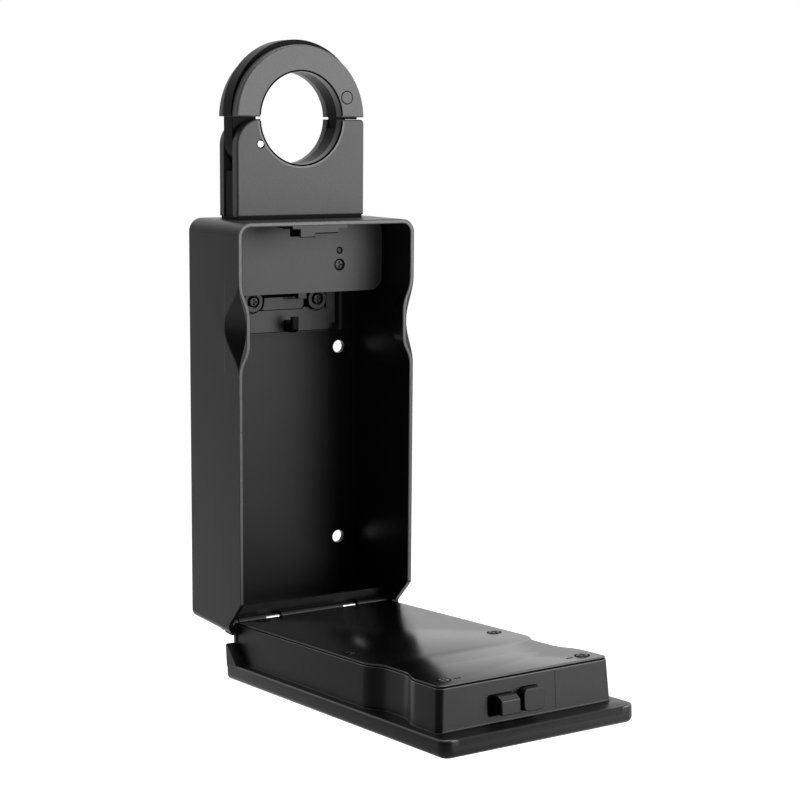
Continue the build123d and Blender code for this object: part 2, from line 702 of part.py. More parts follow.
# The box narrows from the slab to its rim, and the inner plate sits within the rim
lip_y = plate_y1 - plate_sink
sections = []
for half, y in ((box_half, rim_y - 0.5), (plate_half, lip_y)):
    plane = Plane(origin=(0, y, 0), x_dir=(1, 0, 0), z_dir=(0, -1, 0))
    sections.append(plane * waisted_outline(half, door_low_z, box_top_z, 0, 2.0))
box = loft(sections, ruled=True)
box = fillet(box.edges().group_by(Axis.Y)[-1], box_edge_r)
door_body = slab + box
door = door_body
cheek_line = foot_chamfer_z - cheek_gap * math.sqrt(2)
cheek = side(poly((rim_y - 1, door_low_z), (rim_y - 1, cheek_line - rim_y),
                  (rim_y, cheek_line - rim_y),
                  (rim_y + cheek_reach, cheek_line - rim_y - cheek_reach),
                  (rim_y + cheek_reach, door_low_z)), box_half - 0.5, case_w / 2)
for piece in both(cheek):
    door += piece
pocket = waisted_outline(plate_half - box_wall, door_low_z + box_wall, box_top_z - box_wall, 0, 0.8)
door -= front(pocket, pocket_y, box_y1 + 1)
seat = waisted_outline(plate_half - plate_lip, door_low_z + plate_lip, box_top_z - plate_lip, 1.2, 1.4)
door -= front(seat, box_y1, plate_y1 + 1)
for piece in both(rod_x(hinge_y, hinge_z, knuckle_r, door_knuckle_in, door_knuckle_out)):
    door += piece
for piece in both(bar(door_knuckle_in, door_knuckle_out, hinge_y - knuckle_r, box_y1,
                      hinge_z, door_low_z + box_wall)):
    door += piece
for piece in both(rod_x(hinge_y, hinge_z, pin_r + pin_clear, door_knuckle_in - 1,
                        door_knuckle_out + 1)):
    door -= piece
for x, z in plate_screws_at:
    for sign in (-1, 1):
        boss = rod_y(sign * x, z, screw_boss_r, pocket_y - 0.5, box_y1)
        door += boss & door_body
        door -= rod_y(sign * x, z, screw_r, box_y1 - screw_len, box_y1 + 1)
fascia_face = rect(-fascia_w / 2, fascia_w / 2, fascia_low_z, fascia_high_z, fascia_r)
seat_face = rect(-fascia_w / 2 - fascia_gap, fascia_w / 2 + fascia_gap,
                 fascia_low_z - fascia_gap, fascia_high_z + fascia_gap, fascia_r + fascia_gap)
door -= front(seat_face, face_y - 1, face_y + fascia_t)
key_xs = [(i - (key_columns - 1) / 2) * key_pitch_x for i in range(key_columns)]
key_zs = [key_row_z + i * key_pitch_z for i in range(key_rows)]
flange_r = key_r + key_flange
pad_edge = flange_r + 0.9
key_window = rect(key_xs[0] - pad_edge, key_xs[-1] + pad_edge, key_zs[0] - pad_edge,
                  key_zs[-1] + pad_edge, 3.0)
door -= front(key_window, face_y, pocket_y + 1)
door -= rod_y(0, lens_z, lens_r + 0.05, face_y, pocket_y + 1)
for x0, w, y_size in ((latch_x0, latch_w, latch_h), (dead_x0, dead_w, dead_h)):
    door -= bar(x0 - bolt_gap, x0 + w + bolt_gap, bolt_front_y - bolt_gap,
                bolt_front_y + y_size + bolt_gap, box_top_z - box_wall - 1, box_top_z + 1)
parts["door_shell"] = door

# Inner plate over the door box
plate_inset = plate_lip + plate_gap
plate_face = waisted_outline(plate_half - plate_inset, door_low_z + plate_inset,
                             box_top_z - plate_inset, 1.0, 1.2)
plate = front(plate_face, box_y1, plate_y1)
plate_screws = []
for x, z in plate_screws_at:
    for sign in (-1, 1):
        plate -= rod_y(sign * x, z, screw_r + 0.2, box_y1 - 1, plate_y1 + 1)
        screw = cross_screw(0, 0, 0, screw_len + plate_t - 0.3, screw_head_r, screw_r, screw_head_t)
        plate_screws.append(Pos(sign * x, plate_y1, z) * (Rot(0, 0, 180) * screw))
slot_z = plate_screws_at[2][1]
for cutter in both(bar(plate_slot_x - plate_slot_w / 2, plate_slot_x + plate_slot_w / 2,
                       box_y1 - 1, plate_y1 + 1, slot_z - plate_slot_h / 2,
                       slot_z + plate_slot_h / 2)):
    plate -= cutter
parts["door_inner_plate"] = plate
parts["plate_screws"] = Compound(children=plate_screws)

# Keypad: fascia, keys, rubber mat, circuit board and status lens
fascia = front(fascia_face, face_y, face_y + fascia_t)
key_top_y = face_y + fascia_t + 0.1
for row, z in enumerate(key_zs):
    for column, x in enumerate(key_xs):
        fascia -= rod_y(x, z, key_r + key_gap, face_y - 1, face_y + fascia_t + 1)
        key = rod_y(x, z, key_r, face_y - key_proud, key_top_y + 0.1)
        key = fillet(key.edges().group_by(Axis.Y)[0], 0.5)
        key += rod_y(x, z, flange_r, key_top_y, key_top_y + key_flange_t)
        number = (key_rows - 1 - row) * key_columns + column + 1
        parts[f"key_{number:02d}"] = key
fascia -= rod_y(0, lens_z, lens_r + 0.05, face_y - 1, face_y + fascia_t + 1)
parts["keypad_fascia"] = fascia
mat_y = key_top_y + key_flange_t + key_travel + mat_room
mat_face = rect(key_xs[0] - pad_edge + 0.3, key_xs[-1] + pad_edge - 0.3, key_zs[0] - pad_edge + 0.3,
                key_zs[-1] + pad_edge - 0.3, 2.7)
parts["key_mat"] = front(mat_face, mat_y, mat_y + mat_t)
board_y = max(mat_y + mat_t, pocket_y) + 0.1
parts["circuit_board"] = bar(-board_half, board_half, board_y, board_y + board_t,
                             board_low_z, board_high_z)
parts["status_lens"] = rod_y(0, lens_z, lens_r, face_y, pocket_y + 0.8)

# Cells in their cradle behind the board
cradle_y = board_y + board_t + 0.1
cell_y = cradle_y + cradle_t + cell_r + cradle_room
cell_xs = [(i - (cell_count - 1) / 2) * cell_pitch for i in range(cell_count)]
cradle_half = cell_xs[-1] + cell_r + cradle_room + cradle_t
cell_high_z = cell_low_z + cell_len
cradle = bar(-cradle_half, cradle_half, cradle_y, cell_y + cell_r * 0.4,
             cell_low_z - 1.0 - cradle_t, cell_high_z + 1.0 + cradle_t)
cradle -= bar(-cradle_half + cradle_t, cradle_half - cradle_t, cell_y, box_y1,
              cell_low_z - 1.0, cell_high_z + 1.0)
for x in cell_xs:
    cradle -= rod_z(x, cell_y, cell_r + cradle_room, cell_low_z - 1.0, cell_high_z + 1.0)
parts["cell_cradle"] = cradle
cells = []
for x in cell_xs:
    cell = rod_z(x, cell_y, cell_r, cell_low_z, cell_high_z - 0.9)
    cells.append(cell + rod_z(x, cell_y, 1.9, cell_high_z - 1.0, cell_high_z))
parts["cells"] = Compound(children=cells)

# Lock housing with a channel for each bolt
lock_high_z = box_top_z - box_wall - 0.1
lock_x0 = latch_x0 - bolt_gap - lock_margin
lock_x1 = dead_x0 + dead_w + bolt_gap + lock_margin
lock_y1 = box_y1 - 0.2
latch_top = box_top_z + latch_out
latch_low = latch_top - latch_len
dead_top = box_top_z + dead_out
dead_low = dead_top - dead_len
housing = bar(lock_x0, lock_x1, pocket_y + 0.05, lock_y1, lock_low_z, lock_high_z)
latch_x1 = latch_x0 + latch_w
dead_x1 = dead_x0 + dead_w
bolt_back_y = bolt_front_y + latch_h
housing -= bar(latch_x0 - bolt_gap, latch_x1 + bolt_gap, bolt_front_y - bolt_gap,
               bolt_back_y + bolt_gap, latch_low - latch_out * 2 - 0.4, lock_high_z + 1)
housing -= bar(dead_x0 - bolt_gap, dead_x1 + bolt_gap, bolt_front_y - bolt_gap,
               bolt_front_y + dead_h + bolt_gap, dead_low - 0.4, lock_high_z + 1)
pitch_r = gear_module * gear_teeth / 2
tip_r = pitch_r + gear_module * 0.9
root_r = pitch_r - gear_module * 1.25
rack_pitch_y = rack_floor_y + gear_module * 1.2
rack_tip_y = rack_pitch_y + gear_module * 0.8
pinion_y = rack_pitch_y + pitch_r
housing -= bar(dead_x0 - bolt_gap, lock_x1 + 1, bolt_front_y, pinion_y + tip_r + 0.5,
               pinion_z - tip_r - 0.5, pinion_z + tip_r + 0.5)
housing -= rod_y(0, lens_z, lens_r + 0.3, pocket_y - 1, pocket_y + 1)
parts["lock_housing"] = housing

# Latch bolt with its slope, and the spring behind it
latch = plan(rect(latch_x0, latch_x1, bolt_front_y, bolt_back_y, 0.8), latch_low, latch_top)
latch -= side(poly((bolt_back_y + 1, latch_top - latch_slope_out),
                   (bolt_back_y, latch_top - latch_slope_out),
                   (bolt_back_y - latch_slope_in, latch_top),
                   (bolt_back_y - latch_slope_in, latch_top + 1),
                   (bolt_back_y + 1, latch_top + 1)), latch_x0 - 1, latch_x1 + 1)
spring_x = (latch_x0 + latch_x1) / 2
spring_y = (bolt_front_y + bolt_back_y) / 2
parts["latch_bolt"] = latch
spring = disc(spring_x, spring_y, spring_r) - disc(spring_x, spring_y, spring_r - spring_wall)
parts["latch_spring"] = plan(spring, latch_low - latch_out * 2 - 0.3, latch_low - 0.05)

# Dead bolt: rounded head, thinned tail with rack teeth along it
dead_y1 = bolt_front_y + dead_h
dead = plan(rect(dead_x0, dead_x1, bolt_front_y, dead_y1, 1.5), dead_low, dead_top)
dead = chamfer(dead.edges().group_by(Axis.Z)[-1], 0.4)
neck_z = pinion_z + tip_r + dead_travel + 0.8
dead -= bar(dead_x0 - 1, dead_x1 + 1, rack_tip_y, dead_y1 + 1, dead_low - 1, neck_z)
tooth_pitch = math.pi * gear_module
slope = math.tan(math.radians(20))
root_half = tooth_pitch / 4 + gear_backlash / 2
gap_count = int((neck_z - pinion_z + rack_below) / tooth_pitch)
for i in range(gap_count):
    z = pinion_z + tooth_pitch * (i + 0.5 - round(rack_below / tooth_pitch))
    low_half = root_half - slope * (rack_pitch_y - rack_floor_y)
    high_half = root_half + slope * (rack_tip_y + 0.5 - rack_pitch_y)
    dead -= side(poly((rack_floor_y, z - low_half), (rack_tip_y + 0.5, z - high_half),
                      (rack_tip_y + 0.5, z + high_half), (rack_floor_y, z + low_half)),
                 pinion_x0 - 0.4, dead_x1 + 1)
parts["dead_bolt"] = dead


def pinion_outline():
    """Involute teeth round the origin, with a tooth gap towards -X."""
    base_r = pitch_r * math.cos(math.radians(20))
    inv = math.tan(math.radians(20)) - math.radians(20)
    half_tooth = math.pi / gear_teeth / 2 - gear_backlash / 2 / pitch_r
    points = []
    for tooth in range(gear_teeth):
        middle = math.pi + math.pi / gear_teeth + tooth * 2 * math.pi / gear_teeth
        flank = []
        for step in range(5):
            r = base_r + (tip_r - base_r) * step / 4
            roll = math.sqrt((r / base_r) ** 2 - 1)
            flank.append((r, half_tooth + inv - (roll - math.atan(roll))))
        flank.insert(0, (root_r, flank[0][1] * 0.86))
        left = [(r, middle - a) for r, a in flank]
        right = [(r, middle + a) for r, a in reversed(flank)]
        points += [(r * math.cos(a), r * math.sin(a)) for r, a in left + right]
    return make_face(Polyline(*points, close=True))


pinion_x1 = pinion_x0 + gear_w
pinion = side(Pos(pinion_y, pinion_z) * pinion_outline(), pinion_x0, pinion_x1)
motor_x0 = pinion_x1 + motor_gap
motor_x1 = plate_half - box_wall - waist_dip - motor_wall_gap
shaft = rod_x(pinion_y, pinion_z, motor_shaft_r, pinion_x0 - 0.5, motor_x0 + 3)
parts["motor_pinion"] = pinion + shaft
motor_face = disc(pinion_y, pinion_z, motor_r)
motor_face &= rect(pinion_y - motor_flat / 2, pinion_y + motor_flat / 2,
                   pinion_z - motor_r, pinion_z + motor_r)
motor = side(motor_face, motor_x0, motor_x1)
motor -= rod_x(pinion_y, pinion_z, motor_shaft_r + 0.05, motor_x0 - 1, motor_x0 + 3.2)
parts["lock_motor"] = motor

# Place every piece: the door's pieces swing to the open angle, and the whole moves so that
# its origin is the middle of the four wall holes, on the back face
door_pieces = {"door_shell", "door_inner_plate", "plate_screws", "keypad_fascia", "key_mat",
               "circuit_board", "status_lens", "cell_cradle", "cells", "lock_housing",
               "latch_bolt", "latch_spring", "dead_bolt", "motor_pinion", "lock_motor"}
swing = Pos(0, hinge_y, hinge_z) * Rot(open_angle, 0, 0) * Pos(0, -hinge_y, -hinge_z)
to_origin = Pos(0, -case_d, -(hole_low_z + hole_high_z) / 2)
os.makedirs("parts", exist_ok=True)
for name, shape in parts.items():
    if name in door_pieces or name.startswith("key_0") or name.startswith("key_1"):
        shape = swing * shape
    export_step(to_origin * shape, f"parts/{name}.step")
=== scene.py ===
import math
import bmesh
import bpy
import numpy as np
from mathutils import Matrix, Vector


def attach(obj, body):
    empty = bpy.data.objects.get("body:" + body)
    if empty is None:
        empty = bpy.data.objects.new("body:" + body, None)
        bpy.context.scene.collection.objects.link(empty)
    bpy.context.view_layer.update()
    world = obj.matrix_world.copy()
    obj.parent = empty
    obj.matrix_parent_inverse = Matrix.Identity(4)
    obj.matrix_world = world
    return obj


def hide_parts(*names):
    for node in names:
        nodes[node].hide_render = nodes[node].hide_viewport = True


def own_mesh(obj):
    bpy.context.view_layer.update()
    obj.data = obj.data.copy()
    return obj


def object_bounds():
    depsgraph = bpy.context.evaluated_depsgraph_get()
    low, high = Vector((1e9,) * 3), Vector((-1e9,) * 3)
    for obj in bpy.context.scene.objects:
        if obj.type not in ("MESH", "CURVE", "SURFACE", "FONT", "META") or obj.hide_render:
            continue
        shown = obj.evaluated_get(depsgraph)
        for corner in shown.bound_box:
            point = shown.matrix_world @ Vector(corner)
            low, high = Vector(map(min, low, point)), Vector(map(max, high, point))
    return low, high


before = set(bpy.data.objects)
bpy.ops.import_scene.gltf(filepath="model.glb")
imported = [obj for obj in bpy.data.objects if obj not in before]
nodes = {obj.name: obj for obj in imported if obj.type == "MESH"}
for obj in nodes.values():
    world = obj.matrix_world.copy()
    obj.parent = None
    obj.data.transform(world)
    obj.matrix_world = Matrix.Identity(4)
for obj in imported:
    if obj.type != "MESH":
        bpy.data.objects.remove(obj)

# Key safe: satin black case, drop-down keypad door and a hinged carrying ring
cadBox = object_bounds()
mm = 0.001
scene = bpy.context.scene
print("frame loaded:", len(nodes), "nodes")


# Camera, placed by fitting the case, ring and door edges to the photograph
photoView = {"azimuth": -31.984, "elevation": 8.567, "roll": 0.451, "distance": 0.765,
             "lens": 83.856, "sensor": 36.0, "target": (0.03386, -0.046, 0.02379)}


def makeCamera(view):
    az, el, roll = (math.radians(view[k]) for k in ("azimuth", "elevation", "roll"))
    back = Vector((math.sin(az) * math.cos(el), -math.cos(az) * math.cos(el), math.sin(el)))
    right = Vector((math.cos(az), math.sin(az), 0))
    up = back.cross(right)
    turnedRight = right * math.cos(roll) + up * math.sin(roll)
    turnedUp = up * math.cos(roll) - right * math.sin(roll)
    data = bpy.data.cameras.new("photoCamera")
    data.lens = view["lens"]
    data.sensor_width = view["sensor"]
    data.clip_start = 0.05
    data.clip_end = 20
    camera = bpy.data.objects.new("photoCamera", data)
    axes = Matrix((turnedRight, turnedUp, back)).transposed().to_4x4()
    camera.matrix_world = Matrix.Translation(Vector(view["target"]) + back * view["distance"]) @ axes
    scene.collection.objects.link(camera)
    scene.camera = camera


makeCamera(photoView)
scene.view_settings.view_transform = "Standard"


# Studio: white all round except a dark flag on the left, a pale floor well below the safe on its
# wall, and two soft lamps
studio = {"ambientLevel": 0.25, "darkSide": (-0.9, -0.43, 0.0), "fadeFrom": -0.4, "fadeTo": 0.3,
          "floorDrop": 0.12, "floorSize": 9.0, "floorColour": (0.8, 0.8, 0.8), "floorGlow": 0.82,
          "floorMirror": 0.7}
lamps = {
    "keyLamp": {"azimuth": 148, "elevation": 15, "distance": 1.3, "width": 0.9, "height": 0.8,
                "watts": 9.0},
    "topLamp": {"azimuth": 20, "elevation": 78, "distance": 1.2, "width": 0.9, "height": 0.9,
                "watts": 6.0},
}


def addNode(tree, kind, place=(0, 0), **settings):
    node = tree.nodes.new(kind)
    node.location = place
    for key, value in settings.items():
        setattr(node, key, value)
    return node


# Shared shader groups: each gives only values that change over the surface
def newGroup(name, inputs, outputs):
    group = bpy.data.node_groups.new(name, "ShaderNodeTree")
    for label, kind, value in inputs:
        socket = group.interface.new_socket(label, in_out="INPUT", socket_type=kind)
        if value is not None:
            socket.default_value = value
    for label, kind in outputs:
        group.interface.new_socket(label, in_out="OUTPUT", socket_type=kind)
    start = addNode(group, "NodeGroupInput", (-900, 0))
    end = addNode(group, "NodeGroupOutput", (700, 0))
    return group, start, end


def makeStudioLevel(look):
    # How bright the studio is in a direction: one, fading to nought on the dark side
    group, start, end = newGroup("studioLevel", [("Direction", "NodeSocketVector", None)],
                                 [("Level", "NodeSocketFloat")])
    unit = addNode(group, "ShaderNodeVectorMath", (-700, 0), operation="NORMALIZE")
    along = addNode(group, "ShaderNodeVectorMath", (-500, 0), operation="DOT_PRODUCT")
    along.inputs[1].default_value = look["darkSide"]
    fade = addNode(group, "ShaderNodeMapRange", (-300, 0), interpolation_type="SMOOTHSTEP")
    fade.inputs["From Min"].default_value = look["fadeFrom"]
    fade.inputs["From Max"].default_value = look["fadeTo"]
    fade.inputs["To Min"].default_value = 1.0
    fade.inputs["To Max"].default_value = 0.0
    group.links.new(start.outputs["Direction"], unit.inputs[0])
    group.links.new(unit.outputs[0], along.inputs[0])
    group.links.new(along.outputs["Value"], fade.inputs["Value"])
    group.links.new(fade.outputs["Result"], end.inputs["Level"])
    return group


def addMix(tree, share, low, high, place):
    # Number between low and high; each is a socket or a plain value
    mix = addNode(tree, "ShaderNodeMix", place, data_type="FLOAT")
    for slot, value in ((0, share), (2, low), (3, high)):
        if isinstance(value, (int, float)):
            mix.inputs[slot].default_value = value
        else:
            tree.links.new(value, mix.inputs[slot])
    return mix.outputs[0]


def rayKinds(tree):
    # Camera rays, and the ones that gloss and glass send out
    path = addNode(tree, "ShaderNodeLightPath", (-900, 300))
    shiny = addNode(tree, "ShaderNodeMath", (-700, 200), operation="MAXIMUM")
    tree.links.new(path.outputs["Is Glossy Ray"], shiny.inputs[0])
    tree.links.new(path.outputs["Is Transmission Ray"], shiny.inputs[1])
    return path.outputs["Is Camera Ray"], shiny.outputs[0]


def makeWorld(look):
    world = bpy.data.worlds.new("studioWorld")
    scene.world = world
    world.use_nodes = True
    tree = world.node_tree
    tree.nodes.clear()
    seen, shiny = rayKinds(tree)
    place = addNode(tree, "ShaderNodeTexCoord", (-900, -100))
    level = addNode(tree, "ShaderNodeGroup", (-700, -100), node_tree=levelGroup)
    tree.links.new(place.outputs["Generated"], level.inputs["Direction"])
    lit = addMix(tree, shiny, look["ambientLevel"], level.outputs["Level"], (-450, 0))
    strength = addMix(tree, seen, lit, 1.0, (-250, 100))
    glow = addNode(tree, "ShaderNodeBackground", (-50, 0))
    glow.inputs["Color"].default_value = (1, 1, 1, 1)
    tree.links.new(strength, glow.inputs["Strength"])
    out = addNode(tree, "ShaderNodeOutputWorld", (200, 0))
    tree.links.new(glow.outputs[0], out.inputs["Surface"])


def makeFloor(look):
    half = look["floorSize"] / 2
    z = cadBox[0].z - look["floorDrop"]
    mesh = bpy.data.meshes.new("studioFloor")
    mesh.from_pydata([(-half, -half, z), (half, -half, z), (half, half, z), (-half, half, z)],
                     [], [(0, 1, 2, 3)])
    floor = bpy.data.objects.new("studioFloor", mesh)
    scene.collection.objects.link(floor)
    material = bpy.data.materials.new("paleFloor")
    material.use_nodes = True
    tree = material.node_tree
    tree.nodes.clear()
    seen, shiny = rayKinds(tree)
    place = addNode(tree, "ShaderNodeNewGeometry", (-900, -100))
    level = addNode(tree, "ShaderNodeGroup", (-700, -100), node_tree=levelGroup)
    tree.links.new(place.outputs["Position"], level.inputs["Direction"])
    mirrored = addMix(tree, level.outputs["Level"], 0.0, look["floorMirror"], (-580, -100))
    lit = addMix(tree, shiny, 0.0, mirrored, (-450, 0))
    strength = addMix(tree, seen, lit, look["floorGlow"], (-250, 100))
    glow = addNode(tree, "ShaderNodeEmission", (-50, -100))
    tree.links.new(strength, glow.inputs["Strength"])
    matt = addNode(tree, "ShaderNodeBsdfDiffuse", (-50, 100))
    matt.inputs["Color"].default_value = (*look["floorColour"], 1)
    both = addNode(tree, "ShaderNodeAddShader", (150, 0))
    tree.links.new(matt.outputs[0], both.inputs[0])
    tree.links.new(glow.outputs[0], both.inputs[1])
    out = addNode(tree, "ShaderNodeOutputMaterial", (350, 0))
    tree.links.new(both.outputs[0], out.inputs["Surface"])
    mesh.materials.append(material)


def makeLamp(name, look):
    az, el = math.radians(look["azimuth"]), math.radians(look["elevation"])
    away = Vector((math.sin(az) * math.cos(el), math.cos(az) * math.cos(el), math.sin(el)))
    data = bpy.data.lights.new(name, "AREA")
    data.shape = "RECTANGLE"
    data.size = look["width"]
    data.size_y = look["height"]
    data.energy = look["watts"]
    lamp = bpy.data.objects.new(name, data)
    lamp.location = away * look["distance"] + Vector((0, -0.05, 0))
    lamp.rotation_euler = away.to_track_quat("Z", "Y").to_euler()
    scene.collection.objects.link(lamp)


levelGroup = makeStudioLevel(studio)
makeWorld(studio)
makeFloor(studio)
for lampName, lampLook in lamps.items():
    makeLamp(lampName, lampLook)
print("camera, floor and lamps placed")


def makeGrainGroup():
    # Moulded or sprayed grain: two sizes of noise as a bump, and a slow drift in gloss
    group, start, end = newGroup(
        "finishGrain",
        [("Grain Size", "NodeSocketFloat", 0.0006), ("Grain Height", "NodeSocketFloat", 0.00001),
         ("Roughness", "NodeSocketFloat", 0.4), ("Roughness Drift", "NodeSocketFloat", 0.05)],
        [("Roughness", "NodeSocketFloat"), ("Normal", "NodeSocketVector"),
         ("Mottle", "NodeSocketFloat")])
    links = group.links
    place = addNode(group, "ShaderNodeTexCoord", (-900, -300))
    density = addNode(group, "ShaderNodeMath", (-700, -100), operation="DIVIDE")
    density.inputs[0].default_value = 1.0
    links.new(start.outputs["Grain Size"], density.inputs[1])
    fine = addNode(group, "ShaderNodeTexNoise", (-480, -100))
    fine.inputs["Detail"].default_value = 3.0
    fine.inputs["Roughness"].default_value = 0.6
    links.new(place.outputs["Object"], fine.inputs["Vector"])
    links.new(density.outputs[0], fine.inputs["Scale"])
    slow = addNode(group, "ShaderNodeTexNoise", (-480, -380))
    slow.inputs["Scale"].default_value = 55.0
    slow.inputs["Detail"].default_value = 4.0
    links.new(place.outputs["Object"], slow.inputs["Vector"])
    bump = addNode(group, "ShaderNodeBump", (200, -200))
    bump.inputs["Strength"].default_value = 1.0
    links.new(start.outputs["Grain Height"], bump.inputs["Distance"])
    links.new(fine.outputs[0], bump.inputs["Height"])
    drift = addNode(group, "ShaderNodeMath", (-200, 60), operation="SUBTRACT")
    drift.inputs[1].default_value = 0.5
    links.new(slow.outputs[0], drift.inputs[0])
    amount = addNode(group, "ShaderNodeMath", (-20, 60), operation="MULTIPLY")
    links.new(drift.outputs[0], amount.inputs[0])
    links.new(start.outputs["Roughness Drift"], amount.inputs[1])
    total = addNode(group, "ShaderNodeMath", (160, 60), operation="ADD")
    links.new(amount.outputs[0], total.inputs[0])
    links.new(start.outputs["Roughness"], total.inputs[1])
    links.new(total.outputs[0], end.inputs["Roughness"])
    links.new(bump.outputs[0], end.inputs["Normal"])
    links.new(fine.outputs[0], end.inputs["Mottle"])
    return group


grainGroup = makeGrainGroup()
glossDrift = 0.06


def makeFinish(name, look):
    # A satin coat: base colour with a little mottle, gloss and bump from the grain group
    material = bpy.data.materials.new(name)
    material.use_nodes = True
    tree = material.node_tree
    shader = tree.nodes["Principled BSDF"]
    grain = addNode(tree, "ShaderNodeGroup", (-500, 0), node_tree=grainGroup)
    grain.inputs["Grain Size"].default_value = look["grainSize"]
    grain.inputs["Grain Height"].default_value = look["grainHeight"]
    grain.inputs["Roughness"].default_value = look["roughness"]
    grain.inputs["Roughness Drift"].default_value = glossDrift
    tone = addNode(tree, "ShaderNodeMix", (-260, 200), data_type="RGBA")
    colour = look["colour"]
    spread = look.get("mottle", 0.12)
    tone.inputs["A"].default_value = (*[c * (1 - spread) for c in colour], 1)
    tone.inputs["B"].default_value = (*[c * (1 + spread) for c in colour], 1)
    tree.links.new(grain.outputs["Mottle"], tone.inputs["Factor"])
    tree.links.new(tone.outputs["Result"], shader.inputs["Base Color"])
    tree.links.new(grain.outputs["Roughness"], shader.inputs["Roughness"])
    tree.links.new(grain.outputs["Normal"], shader.inputs["Normal"])
    shader.inputs["Metallic"].default_value = look.get("metallic", 0.0)
    shader.inputs["Specular IOR Level"].default_value = look.get("specular", 0.5)
    return material


def grey(level, warm=0.0):
    return (level * (1 + warm), level, level * (1 - warm))


finishes = {
    "caseCoat": {"colour": grey(0.006), "roughness": 0.36, "grainSize": 0.0006, "grainHeight": 3e-5,
                 "mottle": 0.4, "specular": 0.36},
    "doorCoat": {"colour": grey(0.0045), "roughness": 0.34, "grainSize": 0.0006, "grainHeight": 3e-5,
                 "mottle": 0.4, "specular": 0.36},
    "hoodCoat": {"colour": grey(0.05), "roughness": 0.42, "grainSize": 0.0006, "grainHeight": 1.4e-5,
                 "mottle": 0.25},
    # The ring's covers are one moulding in two copies that carry painted light: the arm's copy is
    # painted lighter, where more light falls higher up, and the block's darker
    "armCoverLitPaint": {"colour": grey(0.12), "roughness": 0.36, "grainSize": 0.0008, "grainHeight": 4e-5,
                "mottle": 0.25},
    "blockCoverShadedPaint": {"colour": grey(0.055), "roughness": 0.36, "grainSize": 0.0008, "grainHeight": 4e-5,
                  "mottle": 0.25},
    "coreGloss": {"colour": grey(0.004), "roughness": 0.32, "grainSize": 0.0008, "grainHeight": 4e-6,
                  "specular": 0.06},
    "plateSatin": {"colour": grey(0.004), "roughness": 0.2, "grainSize": 0.0006, "grainHeight": 2e-6},
    "carrierPlastic": {"colour": grey(0.03), "roughness": 0.4, "grainSize": 0.0006, "grainHeight": 5e-6},
    "brightSteel": {"colour": grey(0.78), "metallic": 1.0, "roughness": 0.22, "grainSize": 0.0008,
                    "grainHeight": 2e-6, "mottle": 0.05},
    "blackScrew": {"colour": grey(0.035), "metallic": 1.0, "roughness": 0.2, "grainSize": 0.0004,
                   "grainHeight": 3e-6},
    # Painted shade: flat black for inlays laid where shade falls, also used for the end face's seam
    "gapBlack": {"colour": grey(0.001), "roughness": 0.9, "grainSize": 0.0006, "grainHeight": 1e-6,
                 "specular": 0.05},
    # Painted highlight: a lighter, glossier grey laid on bands along edges where light catches them
    "edgeGlint": {"colour": grey(0.075), "roughness": 0.28, "grainSize": 0.0005, "grainHeight": 6e-6,
                  "specular": 0.8},
    "strikeMetal": {"colour": grey(0.03), "roughness": 0.4, "grainSize": 0.0006, "grainHeight": 4e-6},
    "boltCoat": {"colour": grey(0.008), "roughness": 0.34, "grainSize": 0.0005, "grainHeight": 5e-6},
    "fasciaGloss": {"colour": grey(0.006), "roughness": 0.08, "grainSize": 0.002, "grainHeight": 1e-6},
    "keyPlastic": {"colour": grey(0.012), "roughness": 0.35, "grainSize": 0.0005, "grainHeight": 4e-6},
    "keyMark": {"colour": grey(0.6), "roughness": 0.5, "grainSize": 0.0005, "grainHeight": 2e-6,
                "mottle": 0.04},
    "rubber": {"colour": grey(0.02), "roughness": 0.7, "grainSize": 0.0006, "grainHeight": 8e-6},
    "laminate": {"colour": (0.01, 0.06, 0.02), "roughness": 0.3, "grainSize": 0.001,
                 "grainHeight": 4e-6},
    "lensPlastic": {"colour": (0.25, 0.02, 0.02), "roughness": 0.08, "grainSize": 0.002,
                    "grainHeight": 1e-6},
    "innerPlastic": {"colour": grey(0.02), "roughness": 0.5, "grainSize": 0.0006, "grainHeight": 8e-6},
    "cellJacket": {"colour": (0.02, 0.05, 0.12), "roughness": 0.25, "grainSize": 0.002,
                   "grainHeight": 2e-6},
    "brass": {"colour": (0.7, 0.48, 0.2), "metallic": 1.0, "roughness": 0.3, "grainSize": 0.0008,
              "grainHeight": 3e-6, "mottle": 0.06},
    "motorSteel": {"colour": grey(0.5), "metallic": 1.0, "roughness": 0.4, "grainSize": 0.0008,
                   "grainHeight": 3e-6, "mottle": 0.06},
}
materials = {name: makeFinish(name, look) for name, look in finishes.items()}

wearing = {
    "case_shell": "caseCoat", "mechanism_hood": "hoodCoat", "hinge_pin": "brightSteel",
    "strike_plate": "strikeMetal", "strike_rivets": "strikeMetal", "hood_screw": "blackScrew",
    "hook_carrier": "carrierPlastic", "carrier_screws": "blackScrew", "key_hook": "coreGloss",
    "ring_foot": "coreGloss", "block_front_cover": "blockCoverShadedPaint", "block_rear_cover": "blockCoverShadedPaint",
    "block_core": "coreGloss", "block_screws": "blackScrew", "arm_pivot": "brightSteel",
    "arm_core": "coreGloss", "arm_front_cover": "armCoverLitPaint", "arm_rear_cover": "armCoverLitPaint",
    "arm_rivet": "armCoverLitPaint", "ring_lock_slide": "strikeMetal", "door_shell": "doorCoat",
    "door_inner_plate": "plateSatin", "plate_screws": "blackScrew", "keypad_fascia": "fasciaGloss",
    "key_mat": "rubber", "circuit_board": "laminate", "status_lens": "lensPlastic",
    "cell_cradle": "innerPlastic", "cells": "cellJacket", "lock_housing": "innerPlastic",
    "latch_spring": "brightSteel", "lock_motor": "motorSteel", "latch_bolt": "boltCoat",
    "dead_bolt": "boltCoat", "motor_pinion": "brass",
}
for name, node in nodes.items():
    node.material_slots[0].material = materials[wearing.get(name, "keyPlastic")]
print("finishes made:", len(materials))


